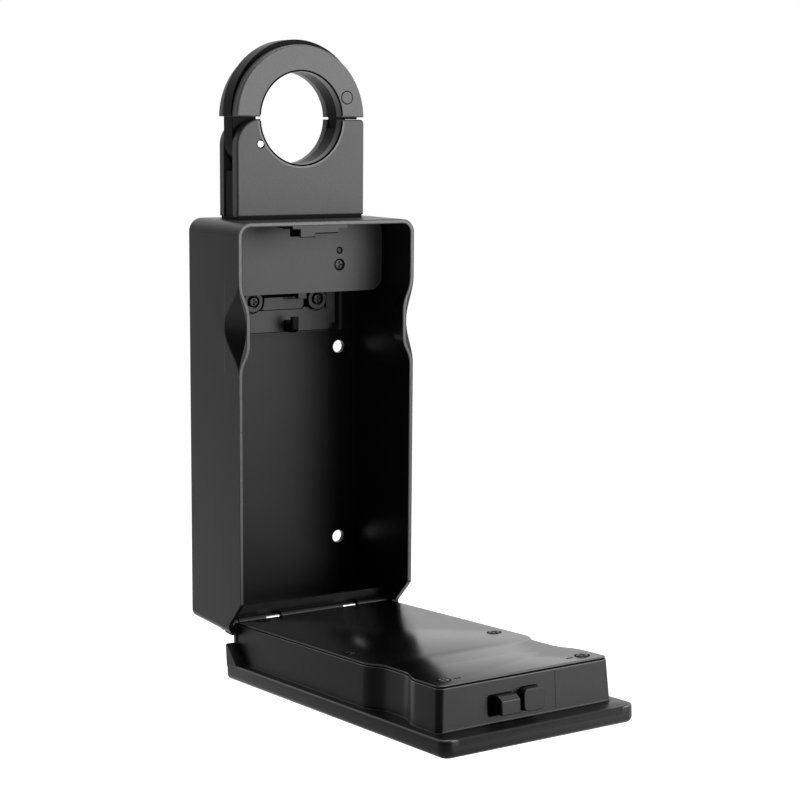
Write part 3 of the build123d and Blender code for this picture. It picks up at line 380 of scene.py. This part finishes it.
# Edges broken by a small radius, which is what catches the light on a moulded or sprayed piece
edgeBreaks = {"case_shell": 0.3, "door_shell": 0.3, "door_inner_plate": 0.2, "mechanism_hood": 0.3,
              "hook_carrier": 0.2, "key_hook": 0.25, "strike_plate": 0.2, "latch_bolt": 0.35,
              "dead_bolt": 0.3, "block_front_cover": 0.2, "block_rear_cover": 0.2,
              "block_core": 0.2, "arm_core": 0.3, "arm_front_cover": 0.2, "arm_rear_cover": 0.2,
              "ring_foot": 0.2, "ring_lock_slide": 0.2, "arm_rivet": 0.25}


def breakEdges(name, width):
    node = nodes[name]
    weld = node.modifiers.new("joinFaces", "WELD")
    weld.merge_threshold = 0.002 * mm
    flat = node.modifiers.new("flatFaces", "DECIMATE")
    flat.decimate_type = "DISSOLVE"
    flat.angle_limit = math.radians(0.3)
    bevel = node.modifiers.new("edgeRadius", "BEVEL")
    bevel.width = width * mm
    bevel.segments = 2
    bevel.limit_method = "ANGLE"
    bevel.angle_limit = math.radians(32)
    shade = node.modifiers.new("evenShade", "WEIGHTED_NORMAL")
    shade.weight = 80


for name, width in edgeBreaks.items():
    breakEdges(name, width)
print("edges broken on", len(edgeBreaks), "pieces")


# New pieces are built in the part's own upright axes, in millimetres: x across, y from the rim
# into the wall, z up. Door pieces are drawn with the door shut and swung open about the pin
hanging = {"wallY": 46.0, "middleZ": 67.7, "pinY": 14.7, "pinZ": 3.3, "openAngle": 85}


def placement(onDoor):
    hang = Matrix.Translation(Vector((0, -hanging["wallY"], -hanging["middleZ"])))
    if not onDoor:
        return hang
    pin = Vector((0, hanging["pinY"], hanging["pinZ"]))
    swing = Matrix.Rotation(math.radians(hanging["openAngle"]), 4, "X")
    return hang @ Matrix.Translation(pin) @ swing @ Matrix.Translation(-pin)


def addPiece(name, points, faces, look):
    # Mesh from points and faces, set in place, its faces turned outward and its edges softened
    mesh = bpy.data.meshes.new(name)
    mesh.from_pydata(np.asarray(points, float).tolist(), [], [list(map(int, f)) for f in faces])
    mesh.transform(Matrix.Scale(mm, 4) @ placement(look.get("onDoor", False)))
    shape = bmesh.new()
    shape.from_mesh(mesh)
    bmesh.ops.recalc_face_normals(shape, faces=shape.faces)
    shape.to_mesh(mesh)
    shape.free()
    mesh.shade_smooth()
    mesh.set_sharp_from_angle(angle=math.radians(look.get("sharp", 35)))
    piece = bpy.data.objects.new(name, mesh)
    scene.collection.objects.link(piece)
    mesh.materials.append(materials[look["finish"]])
    if look.get("glints"):
        # Ring bands that take the lighter finish of a painted edge highlight
        mesh.materials.append(materials["edgeGlint"])
        band = np.arange(len(mesh.polygons)) // look["around"]
        mesh.polygons.foreach_set("material_index", np.isin(band, look["glints"]).astype(int))
    if look.get("edge", 0) > 0:
        bevel = piece.modifiers.new("edgeRadius", "BEVEL")
        bevel.width = look["edge"] * mm
        bevel.segments = 3
        bevel.limit_method = "ANGLE"
        bevel.angle_limit = math.radians(30)
        bevel.harden_normals = True
    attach(piece, look["body"])
    if look.get("replaces"):
        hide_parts(*look["replaces"])
    return piece


def stackRings(rings, joined):
    # Quads between neighbouring rings of equally many points; joined closes the last to the first
    rings = np.asarray(rings, float)
    count, around = rings.shape[:2]
    index = np.arange(count * around).reshape(count, around)
    low, high = (index, np.roll(index, -1, 0)) if joined else (index[:-1], index[1:])
    quads = np.stack([low, np.roll(low, -1, 1), np.roll(high, -1, 1), high], -1).reshape(-1, 4)
    faces = quads.tolist()
    if not joined:
        faces += [index[0].tolist(), index[-1][::-1].tolist()]
    return rings.reshape(-1, 3), faces


def roundedLoop(half, low, high, lowR, highR, y, steps=9):
    # Rounded rectangle in the face of the door; each corner a quarter circle
    parts = []
    corners = ((1, high, highR, 0), (-1, high, highR, 90), (-1, low, lowR, 180), (1, low, lowR, 270))
    for side, z, r, start in corners:
        turn = np.radians(start + np.linspace(0, 90, steps))
        middle = z - r if start < 180 else z + r
        parts.append(np.stack([side * (half - r) + r * np.cos(turn), np.full(steps, y),
                               middle + r * np.sin(turn)], -1))
    return np.concatenate(parts)


waist = {"dip": 3.4, "low": 106.0, "narrowLow": 118.0, "narrowHigh": 128.0, "high": 142.5}


def waistShare(z):
    # Nought outside the waist and one along its narrow part; between them two parabolas that meet
    # halfway up the slope
    rise = np.clip((z - waist["low"]) / (waist["narrowLow"] - waist["low"]), 0, 1)
    fall = np.clip((waist["high"] - z) / (waist["high"] - waist["narrowHigh"]), 0, 1)
    near = np.minimum(rise, fall)
    return np.where(near < 0.5, 2 * near ** 2, 1 - 2 * (1 - near) ** 2)


def waistHeights(foot, head):
    # Heights up one side, close together over the two curves of the waist
    return np.concatenate([[foot], np.linspace(waist["low"], waist["narrowLow"], 15),
                           np.linspace(waist["narrowHigh"], waist["high"], 15), [head]])


def waistedLoop(half, low, high, lowR, highR, y, steps=9):
    # Upright outline with both waists: left side down, the foot, right side up, the head
    heights = waistHeights(low + lowR + 1e-3, high - highR - 1e-3)
    right = np.stack([half - waist["dip"] * waistShare(heights), np.full(heights.size, y), heights], -1)
    left = right[::-1] * (-1, 1, 1)
    corner = roundedLoop(half, low, high, lowR, highR, y, steps)
    foot, head = corner[2 * steps:], corner[:2 * steps]
    return np.concatenate([left, foot, right, head])


def alongX(profile, x0, x1):
    # Outline in y and z, drawn out along x
    profile = np.asarray(profile, float)
    ends = [np.column_stack([np.full(len(profile), x), profile]) for x in (x0, x1)]
    return stackRings(ends, False)


def onBothSides(profile, near, far):
    # The same outline drawn out on the right and on the left
    return joinMeshes([alongX(profile, near, far), alongX(profile, -far, -near)])


def alongZ(profile, z0, z1):
    # Outline in x and y, drawn out along z
    profile = np.asarray(profile, float)
    ends = [np.column_stack([profile, np.full(len(profile), z)]) for z in (z0, z1)]
    return stackRings(ends, False)


def joinMeshes(parts):
    # One list of points and faces from several
    points, faces, start = [], [], 0
    for part in parts:
        points.append(np.asarray(part[0], float))
        faces += [[i + start for i in face] for face in part[1]]
        start += len(part[0])
    return np.concatenate(points), faces


# Door slab: a thicker, softer edged skin over the solid slab, open for the keypad fascia
slabLook = {"body": "door", "slot": "door_paint", "finish": "doorCoat", "onDoor": True, "sharp": 50,
            "half": 40.65, "low": 5.35, "high": 165.4, "lowR": 1.2, "highR": 4.0, "edgeR": 2.3,
            "lipR": 0.6, "ledgeY": -0.47, "ledgeWide": 12, "frontY": -7.1, "fasciaY": -6.02,
            "openHalf": 31.3, "openLow": 13.7, "openHigh": 154.3, "openR": 7.3,
            "hidden": [(3, -5.2), (3, -1.5), (12, -1.5)]}


def makeSlab(look):
    def outer(inset, y):
        return roundedLoop(look["half"] - inset, look["low"] + inset, look["high"] - inset,
                           max(look["lowR"] - inset, 0.3), max(look["highR"] - inset, 0.5), y)

    def opening(grow, y):
        radius = look["openR"] + grow
        return roundedLoop(look["openHalf"] + grow, look["openLow"] - grow, look["openHigh"] + grow,
                           radius, radius, y)

    # Rings run out along the ledge, round a small quarter circle to the side, round a larger one
    # to the front, into the opening and back inside the solid slab
    top, front, edge, lip = look["ledgeY"], look["frontY"], look["edgeR"], look["lipR"]
    rings = [outer(look["ledgeWide"], top), outer(lip, top)]
    for turn in np.radians((30, 60, 90)):
        rings.append(outer(lip * (1 - math.sin(turn)), top - lip * (1 - math.cos(turn))))
    for turn in np.radians(np.linspace(0, 90, 8)):
        rings.append(outer(edge * (1 - math.cos(turn)), front + edge * (1 - math.sin(turn))))
    rings += [opening(0.5, front), opening(0.15, front + 0.12), opening(0, front + 0.5),
              opening(0, look["fasciaY"]), opening(3, -5.7)]
    rings += [outer(inset, y) for inset, y in look["hidden"]]
    # Bands 1 to 3, round the ledge's outer edge, carry a painted highlight
    return addPiece("slabSkin", *stackRings(rings, True),
                    {**look, "around": len(rings[0]), "glints": [1, 2, 3]})


makeSlab(slabLook)


# Cheeks beside the box at the hinge end, cut to the slope of the case's foot: along the slope the
# sum of y and z is the line's value
cheekLook = {"body": "door", "slot": "door_paint", "finish": "doorCoat", "onDoor": True,
             "edge": 0.35, "inner": 35.9, "outer": 40.6, "low": 5.6, "reach": 7.5, "line": 13.8,
             "rimY": -0.5, "slabDeep": 1.5, "toe": 0.6}


def makeCheeks(look):
    low, line, reach, toe = look["low"], look["line"], look["reach"], look["toe"]
    rim = look["rimY"]
    back = rim - look["slabDeep"]
    profile = [(back, low + toe), (back, line - rim), (rim, line - rim), (reach, line - reach),
               (reach, low + toe), (reach - toe, low), (back + toe, low)]
    return addPiece("hingeCheeks", *onBothSides(profile, look["inner"], look["outer"]), look)


makeCheeks(cheekLook)


# Box skin: sides that lean in evenly with y, a small fillet at the slab and a rounded rim
boxLook = {"body": "door", "slot": "door_paint", "finish": "doorCoat", "onDoor": True, "sharp": 40,
           "half": 36.7, "draft": 1.1, "deep": 16.45, "footY": -1.0, "proud": 0.3, "low": 7.1,
           "high": 156.05, "lowR": 0.3, "highR": 2.3, "rimY": 14.75, "rimR": 0.55}


def boxLoop(look, inset, y):
    lean = look["draft"] * (y - look["footY"]) / look["deep"]
    half = look["half"] - lean + look["proud"] - inset
    return waistedLoop(half, look["low"] + max(inset, 0) * 0.5, look["high"] + look["proud"] - inset,
                       look["lowR"], max(look["highR"] - inset, 0.4), y)


def makeBoxSkin(look):
    top, r = look["rimY"], look["rimR"]
    rings = [boxLoop(look, -0.5, -0.44), boxLoop(look, -0.25, -0.38), boxLoop(look, -0.06, -0.15),
             boxLoop(look, 0, 0.2)]
    for turn in np.radians(np.linspace(0, 90, 6)):
        rings.append(boxLoop(look, r * (1 - math.cos(turn)), top - r + r * math.sin(turn)))
    rings += [boxLoop(look, 1.1, top - 0.1), boxLoop(look, 1.3, top - 0.8), boxLoop(look, 1.3, -0.4)]
    # Bands 5 to 7, on the rounded rim, carry a painted highlight
    return addPiece("boxSkin", *stackRings(rings, True),
                    {**look, "around": len(rings[0]), "glints": [5, 6, 7]})


makeBoxSkin(boxLook)


# Plate face over the solid plate, with a painted highlight along its thin edge
plateLook = {**boxLook, "slot": "inner_plate", "finish": "plateSatin", "topY": 15.64}


def makePlateFace(look):
    top = look["topY"]
    rings = [boxLoop(look, 0.22, 15.12), boxLoop(look, 0.16, 15.22), boxLoop(look, 0.16, top - 0.2),
             boxLoop(look, 0.23, top - 0.07), boxLoop(look, 0.38, top)]
    return addPiece("plateFace", *stackRings(rings, False),
                    {**look, "around": len(rings[0]), "glints": [2, 3]})


makePlateFace(plateLook)


# Groove between the box's rim and the plate, painted black as the shade inside it
grooveLook = {**boxLook, "slot": "inner_plate", "finish": "gapBlack", "near": 0.27, "far": 0.6,
              "lowY": 14.55, "topY": 15.2}


def makeGroove(look):
    near, far, low, top = (look[key] for key in ("near", "far", "lowY", "topY"))
    rings = [boxLoop(look, inset, y) for inset, y in ((near, low), (near, top), (far, top), (far, low))]
    return addPiece("rimGrooveShade", *stackRings(rings, True), look)


makeGroove(grooveLook)


# Box feet: its corners carried down beside the knuckles, closing the gap to the case
footLook = {"body": "door", "slot": "door_paint", "finish": "doorCoat", "onDoor": True,
            "edge": 0.3, "inner": 34.8, "outer": 36.85,
            "profile": [(-0.8, 5.4), (13.4, 5.4), (14.6, 6.4), (14.6, 7.6), (-0.8, 7.6)]}
addPiece("boxFeet", *onBothSides(footLook["profile"], footLook["inner"], footLook["outer"]), footLook)
print("door skin made")


# Bolts: the latch with a narrow slope along its leading edge, and the dead bolt, whose tail has
# rack teeth at an even pitch
latchLook = {"body": "latch", "slot": "bolt_metal", "finish": "boltCoat", "onDoor": True, "edge": 0.45,
             "replaces": ["latch_bolt"], "x0": -14.0, "x1": -6.1, "low": 139.25, "high": 161.25,
             "y0": 2.85, "y1": 9.4, "slopeLong": 2.0, "slopeDeep": 1.4}
deadLook = {"body": "dead_bolt", "slot": "bolt_metal", "finish": "boltCoat", "onDoor": True,
            "edge": 0.35, "replaces": ["dead_bolt"], "x0": -3.6, "x1": 5.0, "y0": 2.4, "y1": 10.3,
            "cornerR": 1.9, "neck": 139.4, "high": 159.95, "low": 126.95, "toothTop": 6.0,
            "toothFoot": 4.6, "firstGap": 128.2, "gaps": 5, "pitch": 2.199, "gapTopHalf": 0.83,
            "gapFootHalf": 0.32}


def makeLatch(look):
    top, back = look["high"], look["y1"]
    profile = [(look["y0"], look["low"]), (look["y0"], top), (back - look["slopeDeep"], top),
               (back, top - look["slopeLong"]), (back, look["low"])]
    return addPiece("latchNose", *alongX(profile, look["x0"], look["x1"]), look)


def makeDeadBolt(look):
    middle = (look["x0"] + look["x1"]) / 2
    loop = roundedLoop((look["x1"] - look["x0"]) / 2, look["y0"], look["y1"], look["cornerR"],
                       look["cornerR"], 0, 7)
    head = alongZ(loop[:, (0, 2)] + (middle, 0), look["neck"], look["high"])
    rack = [(look["y0"], look["low"])]
    wide, narrow = look["gapTopHalf"], look["gapFootHalf"]
    for z in look["firstGap"] + look["pitch"] * np.arange(look["gaps"]):
        rack += [(look["toothTop"], z - wide), (look["toothFoot"], z - narrow),
                 (look["toothFoot"], z + narrow), (look["toothTop"], z + wide)]
    rack += [(look["toothTop"], look["neck"] + 0.2), (look["y0"], look["neck"] + 0.2)]
    tail = alongX(rack, look["x0"] + 0.1, look["x1"] - 0.1)
    return addPiece("deadBoltNose", *joinMeshes([head, tail]), look)


makeLatch(latchLook)
makeDeadBolt(deadLook)
print("bolts made")


# Coil spring behind the latch: a wire wound along a screw line, closer at both ends
coilLook = {"body": "door", "slot": "spring_steel", "finish": "brightSteel", "onDoor": True,
            "sharp": 60, "replaces": ["latch_spring"], "x": -10.3, "y": 7.05, "low": 128.55,
            "long": 10.65, "radius": 2.3, "wire": 0.28, "turns": 7.0, "slow": 0.044,
            "travel": 5.2}


def makeCoil(look):
    share = np.linspace(0, 1, 220)
    turn = 2 * math.pi * look["turns"] * share
    # Height rises slowly over the first and last turn, as on a ground coil
    rise = share - look["slow"] * np.sin(2 * math.pi * share)
    z = look["low"] + look["wire"] + (look["long"] - 2 * look["wire"]) * rise
    around = np.linspace(0, 2 * math.pi, 8, endpoint=False)
    outward = look["radius"] + look["wire"] * np.cos(around)
    rings = np.stack([look["x"] + np.cos(turn)[:, None] * outward,
                      look["y"] + np.sin(turn)[:, None] * outward,
                      z[:, None] + look["wire"] * np.sin(around)], -1)
    coil = addPiece("latchCoil", *stackRings(rings, False), look)
    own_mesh(coil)
    return coil


makeCoil(coilLook)


# Keypad marks: the numbers one to nine and nought, with a ring and a bar on the outer keys
markLook = {"finish": "keyMark", "slot": "key_plastic", "onDoor": True, "pitch": 18.0,
            "lowRow": 56.0, "faceY": -6.6, "height": 6.2, "halfThick": 0.03, "ringR": 2.6,
            "ringWide": 0.7, "barLong": 5.0, "barWide": 1.0}


def digitMesh(digit, look):
    # A digit of the built-in font, centred; the font's size is 1.35 times the digit's height
    curve = bpy.data.curves.new("digitCurve", "FONT")
    curve.body = digit
    curve.size = look["height"] * 1.35
    curve.align_x = "CENTER"
    curve.align_y = "CENTER"
    curve.extrude = look["halfThick"]
    curve.resolution_u = 6
    holder = bpy.data.objects.new("digitHolder", curve)
    scene.collection.objects.link(holder)
    mesh = bpy.data.meshes.new_from_object(holder)
    points = np.array([v.co[:] for v in mesh.vertices])
    faces = [list(f.vertices) for f in mesh.polygons]
    bpy.data.objects.remove(holder)
    bpy.data.curves.remove(curve)
    bpy.data.meshes.remove(mesh)
    points[:, :2] -= (points[:, :2].max(0) + points[:, :2].min(0)) / 2
    return points, faces


def ringMark(look, steps=40):
    outer, thick = look["ringR"], look["halfThick"]
    inner = outer - look["ringWide"]
    turn = np.linspace(0, 2 * math.pi, steps, endpoint=False)
    rings = [np.stack([r * np.cos(turn), r * np.sin(turn), np.full(steps, h)], -1)
             for r, h in ((inner, -thick), (outer, -thick), (outer, thick), (inner, thick))]
    return stackRings(rings, True)


def barMark(look):
    width, thick = look["barWide"], look["halfThick"]
    radius = width / 2.01
    loop = roundedLoop(look["barLong"] / 2, -width / 2, width / 2, radius, radius, 0, 6)
    return alongZ(loop[:, (0, 2)], -thick, thick)


def makeMarks(look):
    for number in range(1, 13):
        row, column = divmod(number - 1, 3)
        if number == 10:
            points, faces = ringMark(look)
        elif number == 12:
            points, faces = barMark(look)
        else:
            points, faces = digitMesh(str(number % 11), look)
        x = (column - 1) * look["pitch"]
        z = look["lowRow"] + (3 - row) * look["pitch"]
        placed = np.column_stack([points[:, 0] + x, look["faceY"] - points[:, 2], points[:, 1] + z])
        addPiece(f"keyMark{number:02d}", placed, faces, {**look, "body": f"key_{number:02d}"})


makeMarks(markLook)
print("spring and key marks made")


# Plate screws: raised round heads with a cross cut in each
screwLook = {"body": "door", "slot": "screw_black", "finish": "blackScrew", "onDoor": True,
             "sharp": 30, "replaces": ["plate_screws"], "radius": 2.3, "topY": 15.98, "seatY": 15.3,
             "dome": 0.42, "cutDeep": 0.55, "cutHalf": 0.17, "cutSide": 0.07, "cutReach": 0.68,
             "cutEnd": 0.12, "turned": 0.5,
             "places": [(-26.0, 11.2), (26.6, 10.2), (-31.2, 89.0), (29.7, 94.2), (-29.5, 149.2),
                        (29.7, 149.2)]}


def crossHead(x, z, look, steps=48, rows=12):
    # Dome that drops with the fourth power of the radius; a cross of two slots, deepest at the
    # middle, is cut in it
    share = np.linspace(0.02, 1, rows)[:, None]
    turn = np.linspace(0, 2 * math.pi, steps, endpoint=False)[None, :] + look["turned"]
    across, along = share * np.cos(turn), share * np.sin(turn)
    narrow = np.minimum(np.abs(across), np.abs(along))
    long = np.maximum(np.abs(across), np.abs(along))
    inSlot = np.clip((look["cutHalf"] - narrow) / look["cutSide"], 0, 1)
    inReach = np.clip((look["cutReach"] - long) / look["cutEnd"], 0, 1)
    cut = look["cutDeep"] * inSlot * inReach * (1 - 0.5 * long)
    height = look["topY"] - look["dome"] * share ** 4 - cut
    r = look["radius"]
    rings = np.stack([x + r * across, height, z + r * along], -1)
    skirt = rings[-1].copy()
    skirt[:, 1] = look["seatY"]
    return stackRings(np.concatenate([rings, skirt[None]]), False)


def makePlateScrews(look):
    heads = [crossHead(x, z, look) for x, z in look["places"]]
    return addPiece("plateScrewHeads", *joinMeshes(heads), look)


makePlateScrews(screwLook)
print("screw heads made")


# Painted shade: thin black inlays laid where shade falls in gaps, slots and recesses, and on the end
# face's seam as a dark joint, each standing a few hundredths of a millimetre proud of its surface. Bars
# are given as near x, far x, low z, high z
inlayLook = {"finish": "gapBlack", "thick": 0.05}


def flatStrip(x0, x1, z0, z1, y, thick, r=0.15):
    # Thin rounded bar that faces the rim
    loop = roundedLoop((x1 - x0) / 2, z0, z1, r, r, 0, 4)
    loop[:, 0] += (x0 + x1) / 2
    return stackRings([loop + (0, y, 0), loop + (0, y - thick, 0)], False)


def endStrip(x0, x1, y0, y1, z, thick, r):
    # Thin rounded bar on the door's end face
    loop = roundedLoop((x1 - x0) / 2, y0, y1, r, r, 0, 5)[:, (0, 2)] + ((x0 + x1) / 2, 0)
    return alongZ(loop, z, z + thick)


def screwRing(x, z, inner, outer, y, steps=40):
    # Flat ring that faces the rim
    low = y - inlayLook["thick"]
    turn = np.linspace(0, 2 * math.pi, steps, endpoint=False)
    rings = [np.stack([x + r * np.cos(turn), np.full(steps, h), z + r * np.sin(turn)], -1)
             for r, h in ((inner, low), (outer, low), (outer, y), (inner, y))]
    return stackRings(rings, True)


# Painted shadow round each plate screw, and painted shade for the plate's two slots
plateShadeLook = {**inlayLook, "body": "door", "slot": "inner_plate", "onDoor": True, "inner": 2.1,
                "outer": 2.85, "ringY": 15.68, "slots": (-23.8, 23.8), "slotHalf": 1.3,
                "slotLow": 149.1, "slotHigh": 150.0, "slotY": 15.67}


def makePlateShade(look):
    marks = [screwRing(x, z, look["inner"], look["outer"], look["ringY"])
             for x, z in screwLook["places"]]
    marks += [flatStrip(x - look["slotHalf"], x + look["slotHalf"], look["slotLow"], look["slotHigh"],
                        look["slotY"], look["thick"]) for x in look["slots"]]
    return addPiece("screwShadows", *joinMeshes(marks), look)


makePlateShade(plateShadeLook)


# Painted shade in the clearance round the bolts, and the seam of the end face as a dark joint, each as
# near x, far x, low y, high y and corner radius
endInlayLook = {**inlayLook, "body": "door", "slot": "door_paint", "onDoor": True, "thick": 0.03,
              "sunk": 0.02, "latch": (-16.6, -5.9, 2.1, 9.7, 1.0),
              "deadBolt": (-4.0, 5.3, 2.1, 10.6, 2.0), "seam": (12.12, 12.28, 0.2, 14.1, 0.05)}


def makeEndInlays(look):
    def inlay(key):
        x0, x1, y0, y1, r = look[key]
        return endStrip(x0, x1, y0, y1, base, look["thick"], r)

    base = boxLook["high"] + boxLook["proud"] - look["sunk"]
    addPiece("latchClearanceShade", *joinMeshes([inlay("latch"), inlay("deadBolt")]), look)
    addPiece("endSeam", *inlay("seam"), look)


makeEndInlays(endInlayLook)


# Carrier: painted shadows along the pad and round the two screw bosses, and a fine ring on the pad
carrierY, padY, hoodY = 37.6, 36.1, 20.0
carrierLook = {**inlayLook, "body": "case", "slot": "carrier_plastic", "y": carrierY + 0.02,
               "bars": [(-12.0, 9.0, 126.85, 127.3), (-12.1, -11.6, 127.0, 140.8),
                        (8.6, 9.15, 127.0, 140.8), (9.2, 11.0, 127.6, 140.8)],
               "bosses": [(-15.0, 131.0), (15.0, 131.0)], "inner": 4.2, "outer": 4.65}
padLook = {**inlayLook, "finish": "carrierPlastic", "body": "case", "slot": "carrier_plastic",
           "ring": (-1.3, 130.0, 2.5, 2.62), "y": padY + 0.035}


def makeCarrierShadows(look):
    marks = [flatStrip(*bar, look["y"], look["thick"]) for bar in look["bars"]]
    marks += [screwRing(x, z, look["inner"], look["outer"], look["y"]) for x, z in look["bosses"]]
    return addPiece("carrierShadows", *joinMeshes(marks), look)


makeCarrierShadows(carrierLook)
addPiece("padMark", *screwRing(*padLook["ring"], padLook["y"]), padLook)


# Strike plate: painted shadows under its lip and tab, and painted shade at its left end, each with its
# front y, thickness and corner radius
strikeLook = {**inlayLook, "body": "case", "slot": "strike_metal",
              "bars": [(-12.3, 4.6, 160.6, 161.0, 1.6, 1.2, 0.15),
                       (-12.3, -5.7, 159.2, 159.5, 1.6, 1.2, 0.15),
                       (-16.4, -12.4, 159.6, 163.6, 1.9, 0.3, 0.3)]}
addPiece("strikeShadows", *joinMeshes([flatStrip(*bar) for bar in strikeLook["bars"]]), strikeLook)


# Painted shade under the hood and along the carrier's foot, each bar with the y of its surface, and a
# painted ring of shade round the hood's locating pin
shadeLook = {**inlayLook, "body": "case", "slot": "carrier_plastic", "proud": 0.03,
             "bars": [(-21.4, -11.6, 132.2, 134.5, carrierY), (8.6, 24.0, 132.0, 134.5, carrierY),
                      (-11.5, 8.5, 132.3, 134.5, padY), (-21.3, 22.0, 117.5, 117.85, carrierY)],
             "pinHole": (16.6, 152.2, 1.0, 1.5)}


def makeShade(look):
    marks = [flatStrip(x0, x1, z0, z1, y + look["proud"], look["thick"])
             for x0, x1, z0, z1, y in look["bars"]]
    marks.append(screwRing(*look["pinHole"], hoodY + look["proud"]))
    return addPiece("caseShade", *joinMeshes(marks), look)


makeShade(shadeLook)
print("gaps and seams made")


# Painted highlight along the case's front edge: a fine open band along the rim, waists and head
rimHighlightLook = {"body": "case", "slot": "case_paint", "finish": "edgeGlint", "sharp": 40, "half": 40.0,
           "low": 14.8, "high": 165.5, "cornerR": 5.5, "near": 0.3, "far": 1.35, "frontY": -0.03,
           "backY": 0.1}


def rimPath(look, inset, y):
    # Up the right edge, over the head and down the left
    heights = waistHeights(look["low"], look["high"] - look["cornerR"] - 0.01)
    right = np.stack([look["half"] - inset - waist["dip"] * waistShare(heights),
                      np.full(heights.size, y), heights], -1)
    steps = 10
    head = roundedLoop(look["half"] - inset, look["low"], look["high"] - inset, 1,
                       look["cornerR"] - inset, y, steps)[:2 * steps]
    return np.concatenate([right, head, right[::-1] * (-1, 1, 1)])


def makeRimHighlightBand(look):
    near, far, front, back = (look[key] for key in ("near", "far", "frontY", "backY"))
    edges = ((near, back), (near, front), (far, front), (far, back))
    paths = [rimPath(look, inset, y) for inset, y in edges]
    return addPiece("rimHighlightBand", *stackRings(np.stack(paths, 1), False), look)


makeRimHighlightBand(rimHighlightLook)


# Case walls at the ends of the hinge pin: a round boss, a sleeve on the pin and a toe on each
bossLook = {"body": "case", "slot": "case_paint", "finish": "caseCoat", "edge": 0.3, "radius": 3.1,
            "inner": 37.0, "outer": 38.5, "sleeveR": 1.95, "sleeveIn": 34.1, "overlap": 0.1,
            "toeIn": 37.15, "toe": [(9.95, 4.3), (9.95, 0.0), (10.6, -0.5), (16.0, -0.5),
                                    (20.0, 1.5), (20.0, 6.0), (11.6, 6.0)]}


def makeBosses(look):
    turn = np.linspace(0, 2 * math.pi, 48, endpoint=False)
    circle = np.stack([np.cos(turn), np.sin(turn)], -1)
    pin = (hanging["pinY"], hanging["pinZ"])
    inner, outer = look["inner"], look["outer"]
    sleeveEnd = inner + look["overlap"]
    pairs = [onBothSides(pin + look["radius"] * circle, inner, outer),
             onBothSides(pin + look["sleeveR"] * circle, look["sleeveIn"], sleeveEnd),
             onBothSides(look["toe"], look["toeIn"], outer)]
    return addPiece("pinBosses", *joinMeshes(pairs), look)


makeBosses(bossLook)


# Arm core end: the core reaches a little below the covers and closes the gap to the block
coreEndLook = {"body": "ring_arm", "slot": "ring_core", "finish": "coreGloss",
               "bar": (19.1, 28.2, 205.25, 207.6), "backY": 33.9, "deep": 7.7, "cornerR": 0.4}
addPiece("armCoreEnd", *flatStrip(*coreEndLook["bar"], coreEndLook["backY"], coreEndLook["deep"],
                                  coreEndLook["cornerR"]), coreEndLook)
print("rim band, bosses and arm end made")


# Waist scoops of the case: a smoother hollow laid over the plain one. Its depth falls evenly from
# the rim to nothing, and along the height it follows a squared cosine
scoopLook = {"body": "case", "slot": "case_paint", "finish": "caseCoat", "sharp": 60, "half": 40.0,
             "middle": 124.25, "reach": 18.25, "deep": 3.4, "back": 12.5, "marginZ": 0.6,
             "marginY": 0.4, "frontY": 0.02, "proud": 0.012, "behind": 0.4, "buried": 0.1}


def makeScoops(look):
    tall = look["reach"] + look["marginZ"]
    z = np.linspace(look["middle"] - tall, look["middle"] + tall, 64)
    y = np.linspace(look["frontY"], look["back"] + look["marginY"], 28)
    turn = np.clip((z - look["middle"]) / look["reach"], -1, 1) * math.pi / 2
    slope = look["deep"] / look["back"]
    soft = look["deep"] * np.cos(turn)[:, None] ** 2 - slope * y[None, :]
    plain = look["deep"] * waistShare(z)[:, None] - slope * y[None, :]
    outer = look["half"] - np.maximum(soft, -look["proud"])
    # Buried at the border, so that no edge of it shows
    fromEnds = np.minimum(z - z[0], z[-1] - z)[:, None] / 0.5
    fromBack = (y[-1] - y)[None, :] / look["marginY"]
    outer -= look["buried"] * np.clip(1 - np.minimum(fromEnds, fromBack), 0, 1)
    inner = look["half"] - np.maximum(plain, 0) - look["behind"]
    rows = np.concatenate([outer, inner[:, ::-1]], 1)
    deep = np.tile(np.concatenate([y, y[::-1]]), (z.size, 1))
    high = np.tile(z[:, None], (1, 2 * y.size))
    sides = [stackRings(np.stack([side * rows, deep, high], -1), False) for side in (1, -1)]
    return addPiece("waistScoops", *joinMeshes(sides), look)


makeScoops(scoopLook)


# Front covers of the ring: painted shade round the bore and round the rivet, and a painted highlight
# band on the block. Arcs are given as inner and outer radius, start and end angle
boreShadeLook = {**inlayLook, "slot": "ring_cover", "centreZ": 205.6, "y": 21.92,
           "arm": (18.52, 19.15, 3.5, 176.5), "rivet": (2.45, 2.75, 0, 360),
           "rivetPlace": (21.0, 214.0), "block": (18.52, 19.2, 183.5, 356.5),
           "glint": (19.2, 19.9, 184, 356)}


def arcStrip(arc, place, look, steps=90):
    inner, outer, start, end = arc
    x, z = place
    y, low = look["y"], look["y"] - look["thick"]
    turn = np.radians(np.linspace(start, end, steps))[:, None]
    radius = np.array([inner, outer, outer, inner])[None, :]
    deep = np.tile([y, y, low, low], (steps, 1))
    rings = np.stack([x + radius * np.cos(turn), deep, z + radius * np.sin(turn)], -1)
    return stackRings(rings, False)


def makeBoreShade(look):
    centre = (0, look["centreZ"])
    arm = [arcStrip(look["arm"], centre, look), arcStrip(look["rivet"], look["rivetPlace"], look)]
    addPiece("armBoreShade", *joinMeshes(arm), {**look, "body": "ring_arm"})
    addPiece("blockBoreShade", *arcStrip(look["block"], centre, look), {**look, "body": "case"})
    addPiece("blockBoreHighlight", *arcStrip(look["glint"], centre, look),
             {**look, "body": "case", "finish": "edgeGlint"})


makeBoreShade(boreShadeLook)
print("scoops and cover lips made")
